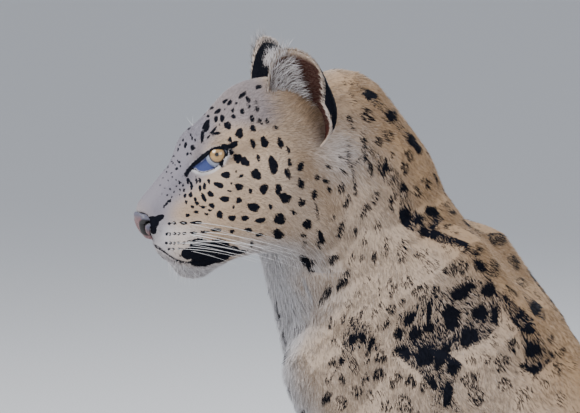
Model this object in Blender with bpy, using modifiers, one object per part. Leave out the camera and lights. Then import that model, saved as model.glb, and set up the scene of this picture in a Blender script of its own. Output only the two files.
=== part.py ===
"""A male leopard sitting upright on the floor, life size, with its head turned to its left.

The animal faces -X and its left side faces -Y. Its flesh is one smooth skin over named muscle
forms, meshed once and then parted into head, neck, trunk, legs and tail with thin cuts. The ears
are cupped shells, and the eyes are balls that sit in sockets behind lids.
"""

import math
from collections import namedtuple

import bmesh
import bpy
import numpy as np
from mathutils import Matrix, Vector
from mathutils.bvhtree import BVHTree

# Driving dimensions, in metres and degrees
HEAD_TURN_DEG = 32.0
HEAD_ORIGIN = Vector((-0.065, -0.045, 0.732))
EYE_RADIUS = 0.0165
LID_THICKNESS = 0.0028
OPENING_INNER = 0.0205
OPENING_OUTER = 0.0085
LIP_GROOVE = 0.0016
EAR_HEIGHT = 0.086
EAR_HALF_WIDTH = 0.047
EAR_DEPTH = 0.036
EAR_TURN_DEG = (16.0, 96.0)
EAR_PEAK = -0.30
EAR_WIDEST = 0.55
EAR_WALL = 0.0032
EAR_SUNK = 0.030
TAIL_RADIUS = 0.029
TAIL_TIP_RADIUS = 0.021
TAIL_SIDES = 14
TAIL_RINGS = 5
TAIL_SHARES = (0.10, 0.27, 0.45, 0.63, 0.81, 1.0)
NECK_BLEND = 0.022
CUT_GAP = 0.0003
TRIM_BEYOND = 0.02
SIDES = ("left", "right")

# How finely the skin is meshed, and how many triangles it keeps
BODY_VOXEL = 0.0065
HEAD_VOXEL = 0.0022
BODY_TRIANGLES = 4100
HEAD_TRIANGLES = 2500

# Landmarks of the left side of the sitting body
SCAPULA_TOP = Vector((0.082, -0.054, 0.608))
SCAPULA_BACK = Vector((0.139, -0.060, 0.524))
SHOULDER_POINT = Vector((-0.066, -0.084, 0.480))
ELBOW = Vector((-0.026, -0.082, 0.335))
WRIST = Vector((-0.080, -0.062, 0.098))
FORE_PAW = Vector((-0.112, -0.066, 0.027))
HIP = Vector((0.325, -0.080, 0.180))
KNEE = Vector((0.150, -0.122, 0.215))
HOCK = Vector((0.318, -0.108, 0.030))
HIND_PAW = Vector((0.105, -0.126, 0.025))

# Landmarks of the left side of the head, in its own frame: forward, left and up from the nape
EYE = Vector((0.1575, 0.0300, 0.0085))
EYE_GAZE = Vector((0.66, 0.745, 0.05)).normalized()
EYE_SLANT = Vector((-0.62, 0.50, 0.60)).normalized()
EARS = {
    "left": (Vector((0.064, 0.065, 0.050)), Vector((0.28, 0.21, 0.93)).normalized(), Vector((0.72, 0.69, 0.0))),
    "right": (Vector((0.060, -0.062, 0.053)), Vector((0.12, -0.26, 0.96)).normalized(), Vector((0.64, -0.77, 0.0))),
}

# The line of the mouth as (forward, up), from its corner to where it turns round the muzzle
MOUTH_LINE = [
    (0.130, -0.1040),
    (0.148, -0.1080),
    (0.166, -0.1120),
    (0.182, -0.1155),
    (0.195, -0.1180),
]
MOUTH_FRONT_UP = -0.101
MOUTH_FRONT_STEPS = 9

# The plane between head and neck, as a point and a direction in the head's frame
NECK_PLANE_POINT = Vector((0.014, 0.0, 0.0))
NECK_PLANE_NORMAL = Vector((0.936, 0.0, 0.351))

# The tail lies on the floor and curls round the left side; its height is its own radius
TAIL_PATH = [
    Vector((0.385, -0.005, 0.060)),
    Vector((0.455, -0.040, 0.034)),
    Vector((0.480, -0.115, 0.027)),
    Vector((0.445, -0.190, 0.026)),
    Vector((0.365, -0.232, 0.025)),
    Vector((0.265, -0.246, 0.024)),
    Vector((0.165, -0.244, 0.023)),
    Vector((0.072, -0.226, 0.022)),
    Vector((-0.005, -0.190, 0.021)),
    Vector((-0.055, -0.150, 0.020)),
]

Form = namedtuple("Form", "start end start_size end_size pitch blend hollow")


def limb(start, end, start_size, end_size=None, blend=0.02, hollow=None):
    """A tapered form from start to end. A size is (half width, half depth), or one radius.

    A form with a hollow depth is taken out of what stands, down to that depth under its surface."""
    return Form(Vector(start), Vector(end), pair(start_size), pair(end_size or start_size), 0.0, blend, hollow)


def lump(centre, radii, pitch=0.0, blend=0.02, hollow=None):
    """An egg with three radii, which can be pitched nose down by some degrees."""
    return Form(Vector(centre), None, tuple(radii), None, pitch, blend, hollow)


def pair(size):
    return (size, size) if isinstance(size, (int, float)) else tuple(size)


def flipped(point):
    return None if point is None else Vector((point.x, -point.y, point.z))


def both_sides(forms):
    """Each form, followed by its mirror image across the middle plane."""
    result = []
    for form in forms:
        result += [form, form._replace(start=flipped(form.start), end=flipped(form.end))]
    return result


def lump_axes(form):
    """Unit axes of a lump as rows: along, across and up."""
    turn = math.radians(form.pitch)
    return np.array(((math.cos(turn), 0, -math.sin(turn)), (0, 1, 0), (math.sin(turn), 0, math.cos(turn))))


def limb_axes(form):
    """Unit axes of a limb as rows: along, across and deep."""
    along = np.array((form.end - form.start).normalized())
    across = np.array((0.0, 1.0, 0.0))
    across -= along * (across @ along)
    across /= np.linalg.norm(across)
    return np.array((along, across, np.cross(along, across)))


def distance(form, points):
    """About how far each point is from the form's surface; it is negative inside."""
    offset = points - np.array(form.start)
    if form.end is None:
        local = offset @ lump_axes(form).T
        radii = np.array(form.start_size)
    else:
        axes = limb_axes(form)
        length = (form.end - form.start).length
        share = np.clip(offset @ axes[0] / length, 0.0, 1.0)
        local = (offset - (share * length)[:, None] * axes[0]) @ axes.T
        size = np.array(form.start_size) + share[:, None] * (np.array(form.end_size) - np.array(form.start_size))
        radii = np.column_stack((np.sqrt(size[:, 0] * size[:, 1]), size))
    near = np.sqrt(((local / radii) ** 2).sum(1)) + 1e-9
    slope = np.sqrt(((local / radii**2) ** 2).sum(1)) + 1e-9
    return near * (near - 1.0) / slope


def smooth_union(a, b, blend):
    """The lower of two distances, rounded where they are within blend of each other."""
    overlap = np.maximum(blend - np.abs(a - b), 0.0) / blend
    return np.minimum(a, b) - overlap * overlap * blend / 4


def blended(forms, points):
    """The distance to all the forms together, each joined or hollowed out in turn."""
    value = np.full(len(points), 1.0)
    for form in forms:
        reach = form.blend + 0.03 + max(form.start_size + (form.end_size or ()))
        middle = form.start if form.end is None else (form.start + form.end) / 2
        span = 0.0 if form.end is None else (form.end - form.start).length / 2
        near = np.linalg.norm(points - np.array(middle), axis=1) < span + reach
        if not near.any():
            continue
        d = distance(form, points[near])
        if form.hollow:
            d = np.maximum(d, -(value[near] + form.hollow))
            value[near] = -smooth_union(-value[near], d, form.blend)
        else:
            value[near] = smooth_union(value[near], d, form.blend)
    return value


def body_forms():
    """The trunk, neck, legs and root of the tail, in the animal's own frame."""
    spine = [
        (Vector((-0.074, -0.046, 0.722)), (0.074, 0.090)),
        (Vector((-0.066, -0.034, 0.692)), (0.082, 0.107)),
        (Vector((-0.030, -0.010, 0.600)), (0.097, 0.122)),
        (Vector((0.004, 0.000, 0.532)), (0.110, 0.140)),
        (Vector((0.080, 0.000, 0.454)), (0.122, 0.144)),
        (Vector((0.166, 0.000, 0.361)), (0.121, 0.137)),
        (Vector((0.245, 0.000, 0.265)), (0.116, 0.126)),
        (Vector((0.310, 0.000, 0.165)), (0.110, 0.112)),
        (Vector((0.340, 0.000, 0.085)), (0.085, 0.088)),
    ]
    middle = [limb(a, b, size, end, 0.012) for (a, size), (b, end) in zip(spine, spine[1:])]
    middle += [
        limb((-0.068, -0.046, 0.774), (-0.040, -0.018, 0.702), (0.062, 0.070), (0.072, 0.082), 0.03),
        limb((-0.108, -0.057, 0.618), (-0.080, -0.022, 0.540), (0.050, 0.048), (0.060, 0.060), 0.03),
        limb((-0.070, 0.000, 0.520), (-0.058, 0.000, 0.385), (0.074, 0.064), (0.060, 0.052), 0.03),
    ]
    sides = [
        limb(SCAPULA_TOP, SCAPULA_BACK, (0.030, 0.044), (0.032, 0.044), 0.03),
        limb(SCAPULA_TOP + Vector((-0.02, -0.012, -0.02)), SHOULDER_POINT, (0.034, 0.062), (0.042, 0.052), 0.03),
        limb(SHOULDER_POINT, ELBOW, (0.040, 0.052), (0.038, 0.046), 0.025),
        limb((0.062, -0.084, 0.470), ELBOW + Vector((0.012, 0, 0.010)), (0.036, 0.058), (0.036, 0.042), 0.03),
        limb(ELBOW, WRIST, (0.038, 0.047), (0.026, 0.030), 0.02),
        limb(WRIST, FORE_PAW + Vector((0.022, 0, 0.012)), (0.027, 0.030), (0.032, 0.030), 0.015),
        lump(FORE_PAW, (0.054, 0.044, 0.034), 8, 0.015),
        lump((0.262, -0.100, 0.178), (0.128, 0.056, 0.118), 20, 0.03),
        limb(HIP, KNEE, (0.052, 0.090), (0.044, 0.062), 0.03),
        limb(KNEE + Vector((0.006, 0, -0.02)), HOCK + Vector((-0.01, 0, 0.02)), (0.038, 0.052), (0.028, 0.036), 0.02),
        limb(HOCK, HIND_PAW, (0.026, 0.034), (0.034, 0.026), 0.015),
        lump(HIND_PAW, (0.052, 0.041, 0.031), 6, 0.015),
        lump((0.352, -0.046, 0.050), (0.070, 0.050, 0.060), 0, 0.025),
    ]
    for paw, reach, rise in ((FORE_PAW, 0.046, -0.011), (HIND_PAW, 0.044, -0.009)):
        for place in (-1.5, -0.5, 0.5, 1.5):
            back = 0.008 if abs(place) > 1 else 0.0
            toe = paw + Vector((-reach + back, 0.0205 * place, rise))
            sides.append(lump(toe, (0.024, 0.0125, 0.0190), 0, 0.004))
    tail_root = limb(TAIL_PATH[0], TAIL_PATH[1], 0.034, TAIL_RADIUS, 0.03)
    return middle + both_sides(sides) + [tail_root]


def head_forms():
    """The skull, jaw and muzzle in the head's own frame: forward, left and up from the nape."""
    middle = [
        lump((0.078, 0.000, 0.043), (0.076, 0.064, 0.056), 0, 0.02),
        limb((0.112, 0.000, 0.042), (0.164, 0.000, 0.012), (0.047, 0.043), (0.036, 0.035), 0.02),
        limb((0.177, 0.000, 0.001), (0.230, 0.000, -0.057), (0.027, 0.022), (0.023, 0.0195), 0.018),
        limb((0.120, 0.000, -0.050), (0.196, 0.000, -0.086), (0.048, 0.046), (0.036, 0.034), 0.02),
        lump((0.229, 0.000, -0.074), (0.014, 0.024, 0.015), 45, 0.010),
        lump((0.198, 0.000, -0.101), (0.021, 0.022, 0.018), 20, 0.012),
        limb((0.184, 0.000, -0.119), (0.122, 0.000, -0.076), (0.022, 0.018), (0.042, 0.016), 0.012),
        lump((0.187, 0.000, -0.120), (0.017, 0.023, 0.018), 0, 0.012),
    ]
    sides = [
        lump((0.076, 0.038, 0.034), (0.056, 0.038, 0.050), 0, 0.02),
        lump((0.076, 0.048, -0.038), (0.050, 0.035, 0.062), 10, 0.02),
        limb((0.140, 0.045, -0.021), (0.084, 0.061, -0.014), 0.019, 0.023, 0.02),
        limb((0.151, 0.027, 0.018), (0.124, 0.044, 0.029), 0.012, 0.015, 0.012),
        limb((0.150, 0.034, -0.028), (0.196, 0.024, -0.061), 0.022, 0.020, 0.018),
        limb((0.140, 0.034, -0.060), (0.120, 0.038, -0.072), 0.034, 0.028, 0.02),
        lump((0.188, 0.024, -0.095), (0.032, 0.025, 0.027), 24, 0.012),
        limb((0.182, 0.026, -0.090), (0.110, 0.042, -0.068), (0.025, 0.026), (0.034, 0.040), 0.02),
        limb((0.176, 0.015, -0.122), (0.104, 0.042, -0.070), (0.018, 0.015), (0.022, 0.018), 0.012),
        lump((0.048, 0.042, -0.062), (0.048, 0.038, 0.050), 0, 0.03),
        lump(EYE + EYE_GAZE * 0.020, (0.015, 0.015, 0.013), 0, 0.014, 1.0),
        lump(EYE, (EYE_RADIUS + LID_THICKNESS,) * 3, 0, 0.006),
    ]
    return middle + both_sides(sides)


def in_head_frame(points):
    inverse = np.array(HEAD_MATRIX.inverted())
    return points @ inverse[:3, :3].T + inverse[:3, 3]


def field(points):
    """The distance from the whole skin."""
    body = blended(BODY_FORMS, points)
    head = blended(HEAD_FORMS, in_head_frame(points))
    return smooth_union(body, head, NECK_BLEND)


def settle(mesh, rounds=6, step=0.0005, longest=0.004):
    """Moves the mesh's points along the slope of the field until they lie on the skin."""
    points = np.empty(len(mesh.vertices) * 3)
    mesh.vertices.foreach_get("co", points)
    points = points.reshape(-1, 3)
    corners = np.array(((1, 1, 1), (1, -1, -1), (-1, 1, -1), (-1, -1, 1)), float)
    for _ in range(rounds):
        samples = np.array([field(points + step * corner) for corner in corners])
        slope = np.einsum("ck,cn->nk", corners, samples) / (4 * step)
        value = samples.mean(0)
        move = (value / np.maximum((slope**2).sum(1), 0.1))[:, None] * slope
        size = np.linalg.norm(move, axis=1, keepdims=True)
        points = points - move * np.minimum(1.0, longest / np.maximum(size, 1e-9))
    mesh.vertices.foreach_set("co", points.ravel())
    mesh.update()


def rough_mesh(name, groups):
    """Every solid form of every group as its own closed hull, all in one mesh."""
    bm = bmesh.new()
    for forms, frame in groups:
        for form in forms:
            if not form.hollow:
                add_hull(bm, form, frame)
    return finished(bm, name)


def add_hull(bm, form, frame, extra=0.0):
    """The egg of a lump, or the hull round the two ends of a limb."""
    turn = Matrix((lump_axes(form) if form.end is None else limb_axes(form)).T.tolist()).to_4x4()
    verts = []
    for centre, radii in form_ends(form):
        size = Matrix.Diagonal([radius + extra for radius in radii] + [1.0])
        place = frame @ Matrix.Translation(centre) @ turn @ size
        verts += [bm.verts.new(place @ point) for point in UNIT_BALL]
    hull = bmesh.ops.convex_hull(bm, input=verts)
    spare = {item for item in hull["geom_interior"] + hull["geom_unused"] if isinstance(item, bmesh.types.BMVert)}
    bmesh.ops.delete(bm, geom=list(spare), context="VERTS")


def ball_points(rings, sides):
    """Points spread over a ball of radius one."""
    points = [Vector((1, 0, 0)), Vector((-1, 0, 0))]
    for i in range(1, rings):
        tilt = math.pi * i / rings
        for k in range(sides):
            turn = 2 * math.pi * k / sides
            points.append(Vector((math.cos(tilt), math.sin(tilt) * math.cos(turn), math.sin(tilt) * math.sin(turn))))
    return points


def form_ends(form):
    if form.end is None:
        return [(form.start, form.start_size)]
    return [
        (form.start, (math.sqrt(form.start_size[0] * form.start_size[1]), *form.start_size)),
        (form.end, (math.sqrt(form.end_size[0] * form.end_size[1]), *form.end_size)),
    ]


def finished(bm, name):
    mesh = bpy.data.meshes.new(name)
    bm.to_mesh(mesh)
    bm.free()
    return mesh


def put(name, mesh):
    shape = bpy.data.objects.new(name, mesh)
    bpy.context.scene.collection.objects.link(shape)
    return shape


def baked(shape):
    """Applies the object's modifiers to its mesh."""
    graph = bpy.context.evaluated_depsgraph_get()
    mesh = bpy.data.meshes.new_from_object(shape.evaluated_get(graph))
    shape.modifiers.clear()
    old = shape.data
    shape.data = mesh
    bpy.data.meshes.remove(old)
    return shape


def skin_over(name, groups, voxel, trim, triangles):
    """One smooth closed surface over the forms, trimmed at a plane and thinned to a number of triangles."""
    skin = put(name, rough_mesh(name, groups))
    for share, rounds in ((1.25, 3), (1.0, 4)):
        remesh = skin.modifiers.new("remesh", "REMESH")
        remesh.mode = "VOXEL"
        remesh.voxel_size = voxel * share
        baked(skin)
        settle(skin.data, rounds)
    trimmed(skin, *trim)
    thin = skin.modifiers.new("thin", "DECIMATE")
    thin.ratio = triangles / count_triangles(skin)
    return keep_largest(baked(skin))


def count_triangles(shape):
    return sum(len(face.vertices) - 2 for face in shape.data.polygons)


def trimmed(shape, point, normal):
    """Takes off all that lies beyond the plane, on the side that its normal points to, and caps the cut."""
    bm = bmesh.new()
    bm.from_mesh(shape.data)
    everything = bm.verts[:] + bm.edges[:] + bm.faces[:]
    bmesh.ops.bisect_plane(bm, geom=everything, plane_co=point, plane_no=normal, clear_outer=True)
    bmesh.ops.holes_fill(bm, edges=[edge for edge in bm.edges if edge.is_boundary])
    bmesh.ops.triangulate(bm, faces=bm.faces)
    bm.to_mesh(shape.data)
    bm.free()


def removed(shape):
    mesh = shape.data
    bpy.data.objects.remove(shape)
    bpy.data.meshes.remove(mesh)


def boolean(shape, cutter, operation):
    cut = shape.modifiers.new("cut", "BOOLEAN")
    cut.operation = operation
    cut.object = cutter
    cut.solver = "EXACT"
    return baked(shape)


def keep_largest(shape):
    """Drops every loose scrap but the largest surface, and splits faces into triangles."""
    bm = bmesh.new()
    bm.from_mesh(shape.data)
    left = set(bm.verts)
    islands = []
    while left:
        stack = [left.pop()]
        island = set(stack)
        while stack:
            for edge in stack.pop().link_edges:
                for vert in edge.verts:
                    if vert in left:
                        left.discard(vert)
                        island.add(vert)
                        stack.append(vert)
        islands.append(island)
    largest = max(islands, key=len)
    bmesh.ops.delete(bm, geom=[vert for vert in bm.verts if vert not in largest], context="VERTS")
    bmesh.ops.triangulate(bm, faces=bm.faces)
    bm.to_mesh(shape.data)
    bm.free()
    return shape


def part_off(rest, name, make_cutter):
    """Cuts a named piece out of rest with a thin gap; make_cutter builds the cutter, grown by a margin."""
    piece = put(name, rest.data.copy())
    cutter = make_cutter(0.0)
    keep_largest(boolean(piece, cutter, "INTERSECT"))
    removed(cutter)
    cutter = make_cutter(CUT_GAP)
    keep_largest(boolean(rest, cutter, "DIFFERENCE"))
    removed(cutter)
    return piece


def plane_cutter(point, normal, reach=1.0, half_width=0.8):
    """A block whose near face lies on the plane; it runs along the normal and is wide across it."""
    normal = Vector(normal).normalized()

    def make(margin):
        bm = bmesh.new()
        bmesh.ops.create_cube(bm, size=1.0)
        bmesh.ops.scale(bm, vec=(2 * half_width, 2 * half_width, reach + margin), verts=bm.verts)
        bmesh.ops.translate(bm, vec=(0, 0, (reach - margin) / 2), verts=bm.verts)
        place = Matrix.Translation(point) @ normal.to_track_quat("Z", "Y").to_matrix().to_4x4()
        bmesh.ops.transform(bm, matrix=place, verts=bm.verts)
        return put("cutter", finished(bm, "cutter"))

    return make


def form_cutter(form, frame=Matrix.Identity(4)):
    """A lump or limb as a cutter, grown by the margin."""

    def make(margin):
        bm = bmesh.new()
        add_hull(bm, form, frame, margin)
        return put("cutter", finished(bm, "cutter"))

    return make


def on_side(form, side):
    """The form as it is on the left, or its mirror image on the right."""
    return form if side == "left" else form._replace(start=flipped(form.start), end=flipped(form.end))


def tube(bm, centres, radii, runs, sides):
    """A closed tube of rings round the centres, each ring square to its run."""
    rings = []
    for centre, radius, run in zip(centres, radii, runs):
        place = Matrix.Translation(centre) @ run.to_track_quat("Z", "Y").to_matrix().to_4x4()
        around = [2 * math.pi * k / sides for k in range(sides)]
        rings.append([bm.verts.new(place @ Vector((radius * math.cos(a), radius * math.sin(a), 0))) for a in around])
    for first, second in zip(rings, rings[1:]):
        for k in range(sides):
            bm.faces.new((first[k], first[(k + 1) % sides], second[(k + 1) % sides], second[k]))
    bm.faces.new(rings[0][::-1])
    bm.faces.new(rings[-1])
    bmesh.ops.recalc_face_normals(bm, faces=bm.faces)


def groove(shapes, points, radius, sides=5):
    """Takes a round groove along the points out of each of the shapes."""
    runs = [points[min(i + 1, len(points) - 1)] - points[max(i - 1, 0)] for i in range(len(points))]
    bm = bmesh.new()
    tube(bm, points, [radius] * len(points), runs, sides)
    cutter = put("cutter", finished(bm, "cutter"))
    for shape in shapes:
        keep_largest(boolean(shape, cutter, "DIFFERENCE"))
    removed(cutter)


def tree_of(shape):
    return BVHTree.FromPolygons([v.co for v in shape.data.vertices], [p.vertices for p in shape.data.polygons])


def skin_point(tree, point, direction):
    """Where a ray through the head's own frame meets the skin."""
    return tree.ray_cast(HEAD_MATRIX @ Vector(point), HEAD_MATRIX.to_3x3() @ Vector(direction))[0]


def cut_mouth(head):
    """The groove between the lips, right round the muzzle, and the split under the nose."""
    tree = tree_of(head)
    path = []
    for (forward, up), (next_forward, next_up) in zip(MOUTH_LINE, MOUTH_LINE[1:]):
        for k in range(2):
            share = k / 2
            spot = (forward + (next_forward - forward) * share, 0.15, up + (next_up - up) * share)
            path.append((spot, (0, -1, 0)))
    forward, up = MOUTH_LINE[-1]
    for k in range(MOUTH_FRONT_STEPS + 1):
        share = k / MOUTH_FRONT_STEPS
        turn = math.radians(90 - 90 * share)
        out = Vector((math.cos(turn), math.sin(turn), 0))
        height = up + (MOUTH_FRONT_UP - up) * share * share * (3 - 2 * share)
        path.append((Vector((forward, 0, height)) + out * 0.15, -out))
    left = [skin_point(tree, spot, direction) for spot, direction in path]
    right = [skin_point(tree, flipped(Vector(spot)), flipped(Vector(direction))) for spot, direction in path[:-1]]
    groove([head], left + right[::-1], LIP_GROOVE)
    split = [skin_point(tree, (0.35, 0, SPLIT_TOP + (MOUTH_FRONT_UP - SPLIT_TOP) * i / 4), (-1, 0, 0)) for i in range(5)]
    groove([head], split, LIP_GROOVE)


def cut_eye_opening(head, side):
    """A socket for the ball and a slanting almond between the lids."""
    form = on_side(lump(EYE, (EYE_RADIUS,) * 3), side)
    ball = form_cutter(form, HEAD_MATRIX)(CUT_GAP)
    boolean(head, ball, "DIFFERENCE")
    removed(ball)
    surface = EYE + EYE_GAZE * EYE_RADIUS
    almond = limb(surface - EYE_SLANT * OPENING_INNER, surface + EYE_SLANT * OPENING_OUTER, 0.0040, 0.0088)
    opening = form_cutter(on_side(almond, side), HEAD_MATRIX)(0.0)
    keep_largest(boolean(head, opening, "DIFFERENCE"))
    removed(opening)


def eye_ball(side):
    name = f"eye_{side}"
    bm = bmesh.new()
    add_hull(bm, on_side(lump(EYE, (EYE_RADIUS,) * 3), side), HEAD_MATRIX)
    return put(name, finished(bm, name))


def ear(side, head):
    """A rounded sheet bent into a cup, given its thickness and seated on the head."""
    name = f"ear_{side}"
    base, up, facing = EARS[side]
    facing = (facing - up * facing.dot(up)).normalized()
    across = up.cross(facing) * (1 if side == "left" else -1)
    bm = bmesh.new()
    bmesh.ops.create_grid(bm, x_segments=14, y_segments=9, size=1.0)
    for vert in bm.verts:
        s, t = vert.co.x, (vert.co.y + 1) / 2
        vert.co = base + up * ear_rise(s, t) + across * ear_reach(s, t) - facing * ear_cup(s, t)
    bmesh.ops.transform(bm, matrix=HEAD_MATRIX, verts=bm.verts)
    shell = put(name, finished(bm, name))
    wall = shell.modifiers.new("wall", "SOLIDIFY")
    wall.thickness = EAR_WALL
    wall.offset = 0.0
    wall.use_even_offset = False
    baked(shell)
    bm = bmesh.new()
    bm.from_mesh(shell.data)
    bmesh.ops.recalc_face_normals(bm, faces=bm.faces)
    bm.to_mesh(shell.data)
    bm.free()
    seat = put("seat", head.data.copy())
    gap = seat.modifiers.new("gap", "DISPLACE")
    gap.strength = CUT_GAP
    gap.mid_level = 0.0
    baked(seat)
    keep_largest(boolean(shell, seat, "DIFFERENCE"))
    removed(seat)
    return shell


def ear_rise(s, t):
    """How far a point of the ear stands above its base: the top edge is a low arch."""
    lean = (s - EAR_PEAK) / (1.0 - EAR_PEAK if s > EAR_PEAK else 1.0 + EAR_PEAK)
    top = EAR_HEIGHT * (1.0 - 0.72 * abs(lean) ** 2.0)
    return -EAR_SUNK + (top + EAR_SUNK) * t


def ear_turn(s):
    """The way round the cup, which wraps further behind than in front."""
    return math.radians(EAR_TURN_DEG[0] + EAR_TURN_DEG[1] * s)


def ear_swell(t):
    """How wide it is at a height: it draws in to its root, and a little to its tip."""
    if t < EAR_WIDEST:
        return 0.5 + 0.5 * math.sin(math.pi / 2 * t / EAR_WIDEST)
    return 1.0 - 0.14 * ((t - EAR_WIDEST) / (1.0 - EAR_WIDEST)) ** 2


def ear_reach(s, t):
    """How far it lies to the side."""
    return EAR_HALF_WIDTH * math.sin(ear_turn(s)) * ear_swell(t)


def ear_cup(s, t):
    """How far it bows back: deepest low down."""
    return EAR_DEPTH * math.cos(ear_turn(s)) * ear_swell(t) * (1.0 - 0.5 * t) - 0.004


def head_parts():
    """Head, nose, eyes and ears."""
    point = HEAD_MATRIX @ NECK_PLANE_POINT
    normal = HEAD_MATRIX.to_3x3() @ NECK_PLANE_NORMAL
    beyond = (point - normal * TRIM_BEYOND, -normal)
    head = skin_over("head", [(NECK_FORMS, UPRIGHT), (HEAD_FORMS, HEAD_MATRIX)], HEAD_VOXEL, beyond, HEAD_TRIANGLES)
    cutter = plane_cutter(point, -normal)(CUT_GAP)
    keep_largest(boolean(head, cutter, "DIFFERENCE"))
    removed(cutter)
    nose = part_off(head, "nose", form_cutter(NOSE_LEATHER, HEAD_MATRIX))
    parts = [head, nose]
    for side in SIDES:
        sign = 1 if side == "left" else -1
        nostril = [HEAD_MATRIX @ Vector((forward, sign * left, up)) for forward, left, up in NOSTRIL]
        groove([nose, head], nostril, NOSTRIL_RADIUS)
    cut_mouth(head)
    for side in SIDES:
        parts.append(ear(side, head))
        cut_eye_opening(head, side)
        parts.append(eye_ball(side))
    return parts


def body_parts():
    """Neck, trunk and legs, parted from one skin."""
    point = HEAD_MATRIX @ NECK_PLANE_POINT
    normal = HEAD_MATRIX.to_3x3() @ NECK_PLANE_NORMAL
    beyond = (point + normal * TRIM_BEYOND, normal)
    rest = skin_over("rump", [(BODY_FORMS, UPRIGHT), (HEAD_FORMS, HEAD_MATRIX)], BODY_VOXEL, beyond, BODY_TRIANGLES)
    floor = plane_cutter((0, 0, 0), (0, 0, -1))
    tail_end = plane_cutter(TAIL_CUT, TAIL_CUT_NORMAL, 0.1, 0.06)
    for make_cutter in (plane_cutter(point, normal), floor, tail_end):
        cutter = make_cutter(0.0)
        keep_largest(boolean(rest, cutter, "DIFFERENCE"))
        removed(cutter)
    parts = []
    for side in SIDES:
        forearm = part_off(rest, f"forearm_{side}", form_cutter(on_side(FOREARM_CUT, side)))
        parts.append(part_off(forearm, f"forepaw_{side}", plane_cutter((0, 0, WRIST_CUT), (0, 0, -1))))
        parts.append(forearm)
        foot = part_off(rest, f"hindfoot_{side}", form_cutter(on_side(FOOT_CUT, side)))
        parts.append(part_off(foot, f"hindpaw_{side}", plane_cutter((FOOT_PAW_CUT, 0, 0), (-1, 0, 0))))
        parts.append(foot)
        parts.append(part_off(rest, f"thigh_{side}", form_cutter(on_side(THIGH_CUT, side))))
        parts.append(part_off(rest, f"shoulder_{side}", form_cutter(on_side(SHOULDER_CUT, side))))
    for name, spot, direction in TRUNK_CUTS:
        parts.append(part_off(rest, name, plane_cutter(spot, direction)))
    return parts + [rest]


def tail_point(share):
    """A point of the tail's smooth middle line, with its direction."""
    steps = len(TAIL_PATH) - 1
    place = share * steps
    i = min(int(place), steps - 1)
    before, start, end, after = (TAIL_PATH[min(max(i + k, 0), steps)] for k in (-1, 0, 1, 2))
    t = place - i
    first, second = (end - before) / 2, (after - start) / 2
    point = (
        start * (2 * t**3 - 3 * t**2 + 1)
        + first * (t**3 - 2 * t**2 + t)
        + end * (3 * t**2 - 2 * t**3)
        + second * (t**3 - t**2)
    )
    run = (
        start * (6 * t**2 - 6 * t)
        + first * (3 * t**2 - 4 * t + 1)
        + end * (6 * t - 6 * t**2)
        + second * (3 * t**2 - 2 * t)
    )
    return point, run.normalized()


def tail_parts():
    """The tail in lengths, each a tube; the last one has a round tip."""
    parts = []
    count = len(TAIL_SHARES) - 1
    for i in range(count):
        start, end = TAIL_SHARES[i], TAIL_SHARES[i + 1]
        shares = [start + (end - start) * k / TAIL_RINGS for k in range(TAIL_RINGS + 1)]
        centres, runs = map(list, zip(*(tail_point(share) for share in shares)))
        centres[0] = centres[0] + runs[0] * CUT_GAP
        radii = [TAIL_RADIUS + (TAIL_TIP_RADIUS - TAIL_RADIUS) * share for share in shares]
        if i == count - 1:
            for k in range(1, 5):
                angle = k * math.pi / 9
                centres.append(centres[TAIL_RINGS] + runs[-1] * radii[TAIL_RINGS] * math.sin(angle))
                radii.append(radii[TAIL_RINGS] * math.cos(angle))
                runs.append(runs[-1])
        bm = bmesh.new()
        tube(bm, centres, radii, runs, TAIL_SIDES)
        bmesh.ops.triangulate(bm, faces=bm.faces)
        length = put(f"tail_{i + 1}", finished(bm, f"tail_{i + 1}"))
        cutter = plane_cutter((0, 0, 0), (0, 0, -1))(0.0)
        parts.append(keep_largest(boolean(length, cutter, "DIFFERENCE")))
        removed(cutter)
    return parts


def coloured(parts):
    """Gives every part a plain material by what it is made of."""
    for kind, (names, colour, roughness) in MATERIALS.items():
        material = bpy.data.materials.new(kind)
        material.use_nodes = True
        shader = material.node_tree.nodes["Principled BSDF"]
        shader.inputs["Base Color"].default_value = (*colour, 1.0)
        shader.inputs["Roughness"].default_value = roughness
        for part in parts:
            if part.name in names or (not names and not part.data.materials):
                part.data.materials.append(material)


def centred(parts):
    """Moves everything so that the bottom centre of its box is the origin."""
    points = [corner for part in parts for corner in (vert.co for vert in part.data.vertices)]
    low = Vector([min(point[k] for point in points) for k in range(3)])
    high = Vector([max(point[k] for point in points) for k in range(3)])
    shift = Vector((-(low.x + high.x) / 2, -(low.y + high.y) / 2, -low.z))
    for part in parts:
        part.data.transform(Matrix.Translation(shift))


def build():
    for leftover in list(bpy.data.objects):
        bpy.data.objects.remove(leftover)
    parts = head_parts() + body_parts() + tail_parts()
    coloured(parts)
    centred(parts)


UNIT_BALL = ball_points(10, 16)
UPRIGHT = Matrix.Identity(4)
HEAD_MATRIX = Matrix.Translation(HEAD_ORIGIN) @ Matrix.Rotation(math.radians(HEAD_TURN_DEG + 180), 4, "Z")
BODY_FORMS = body_forms()
HEAD_FORMS = head_forms()
NECK_FORMS = BODY_FORMS[:3] + BODY_FORMS[8:10]

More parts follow.
